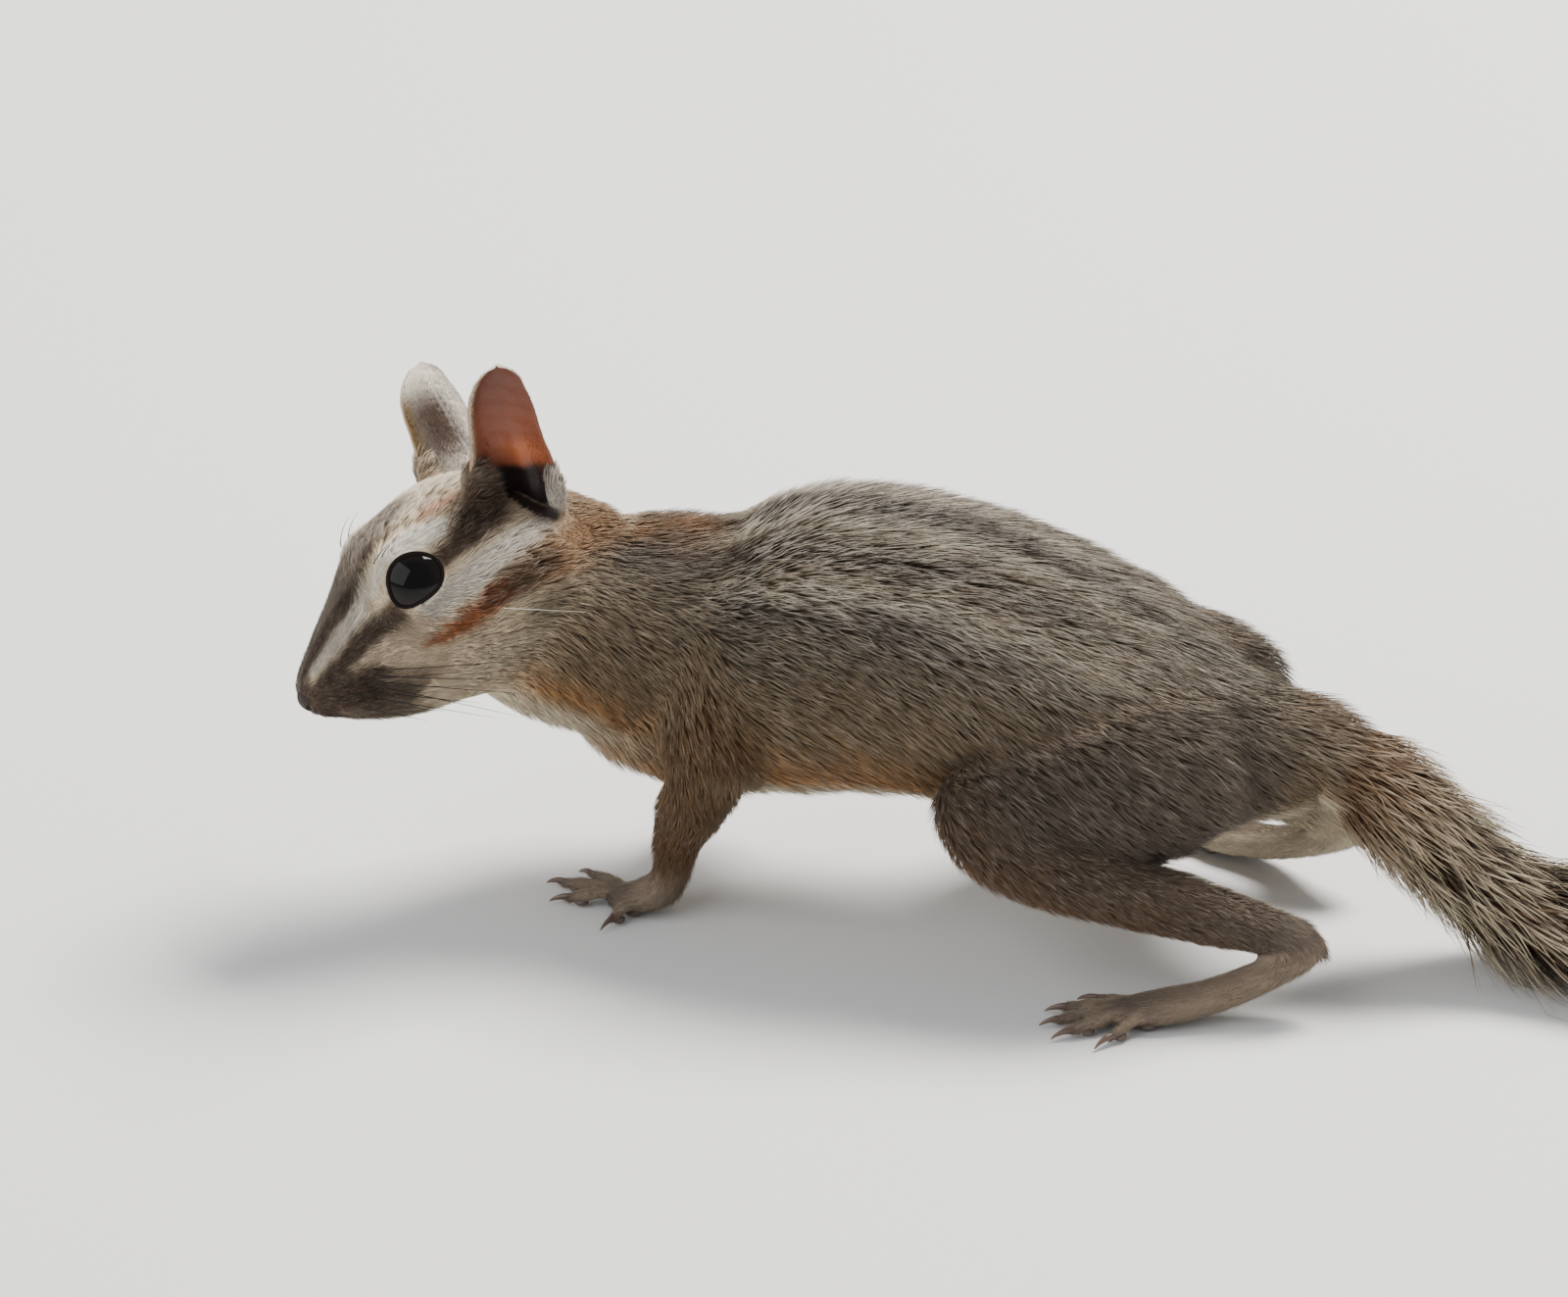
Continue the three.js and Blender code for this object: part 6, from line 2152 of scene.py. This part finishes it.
@dataclass
class Studio:
    """The pale floor, soft lamps and the camera at the photo's angle."""

    azimuth: float = 16.0
    elevation: float = 26.0
    distance: float = 2.0
    frame_width: float = 0.168
    aim: Triple = (-8.2, 9.5, 23.3)
    floor_size: float = 3.0
    world: Triple = (0.88, 0.89, 0.92)
    world_strength: float = 0.55
    lamps: tuple[Lamp, ...] = (
        Lamp("lamp_key", (0.3, 0.55, 1.0), 0.5, 34.0, (1.0, 0.97, 0.92)),
        Lamp("lamp_fill", (-0.9, -1.1, 0.9), 1.6, 18.0, (0.97, 0.98, 1.0)),
    )

    def floor(self, material: Material) -> None:
        """A flat floor just under the feet."""
        half = self.floor_size / 2 / MM
        points = np.array([[x * half, y * half, -0.02] for x, y in ((-1, -1), (1, -1), (1, 1), (-1, 1))])
        piece = mesh_object("studio_floor", points, np.array([[0, 1, 2], [0, 2, 3]]), False)
        piece.data.materials.append(material)

    def light(self) -> None:
        """The lamps, each turned towards the animal, and an even pale sky."""
        aim = Vector(Frame.place(np.array(self.aim)))
        for lamp in self.lamps:
            data = bpy.data.lights.new(lamp.name, "AREA")
            data.size = lamp.size
            data.energy = lamp.power
            data.color = lamp.colour
            made = bpy.data.objects.new(lamp.name, data)
            made.location = lamp.place
            made.rotation_euler = (aim - Vector(lamp.place)).to_track_quat("-Z", "Y").to_euler()
            bpy.context.scene.collection.objects.link(made)
        world = bpy.data.worlds.new("studio")
        world.use_nodes = True
        sky = world.node_tree.nodes["Background"]
        sky.inputs["Color"].default_value = (*self.world, 1.0)
        sky.inputs["Strength"].default_value = self.world_strength
        bpy.context.scene.world = world

    def camera(self) -> None:
        """A long lens from the photo's side, on its framing."""
        turn, rise = math.radians(self.azimuth), math.radians(self.elevation)
        away = Vector((
            math.sin(turn) * math.cos(rise),
            -math.cos(turn) * math.cos(rise),
            math.sin(rise),
        ))
        data = bpy.data.cameras.new("camera")
        data.sensor_width = 36.0
        data.lens = 36.0 * self.distance / self.frame_width
        made = bpy.data.objects.new("camera", data)
        made.location = Vector(Frame.place(np.array(self.aim))) + away * self.distance
        made.rotation_euler = away.to_track_quat("Z", "Y").to_euler()
        bpy.context.scene.collection.objects.link(made)
        bpy.context.scene.camera = made

    def dress(self, material: Material) -> None:
        """Sets up floor, light and camera."""
        self.floor(material)
        self.light()
        self.camera()


def write_sizes() -> None:
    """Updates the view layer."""
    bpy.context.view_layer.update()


def main() -> None:
    """Builds the animal and its studio."""
    logging.basicConfig(level=logging.INFO, format="%(message)s")
    body = Body(Anatomy())
    fur = FurFinish("fur").material()
    bare = BareFinish("bare_skin").material()
    lids = BareFinish("lid_skin", roughness=0.7, gloss=0.12).material()
    skin = Skin(body)
    surface = skin.build()
    reading = body.read(surface.points, surface.normals())
    reading.lie = surface.evened(reading.lie, reading.normals)
    skin.dress(surface, reading, SkinFinish("skin").material())
    Coat(body).dress(surface, reading, fur)
    Eyes(body.head).dress(EyeFinish("eye").material(), lids)
    Nose(body.head).dress(BareFinish("nose_skin", roughness=0.55, gloss=0.2).material())
    Ears(body.head).dress(BareFinish("ear_skin", roughness=0.5, glow=0.15).material(), fur)
    Whiskers(body.head).dress(fur)
    Claws().dress(HornFinish("horn").material(), bare)
    Studio().dress(FloorFinish("floor").material())
    write_sizes()


if __name__ == "__main__":
    main()
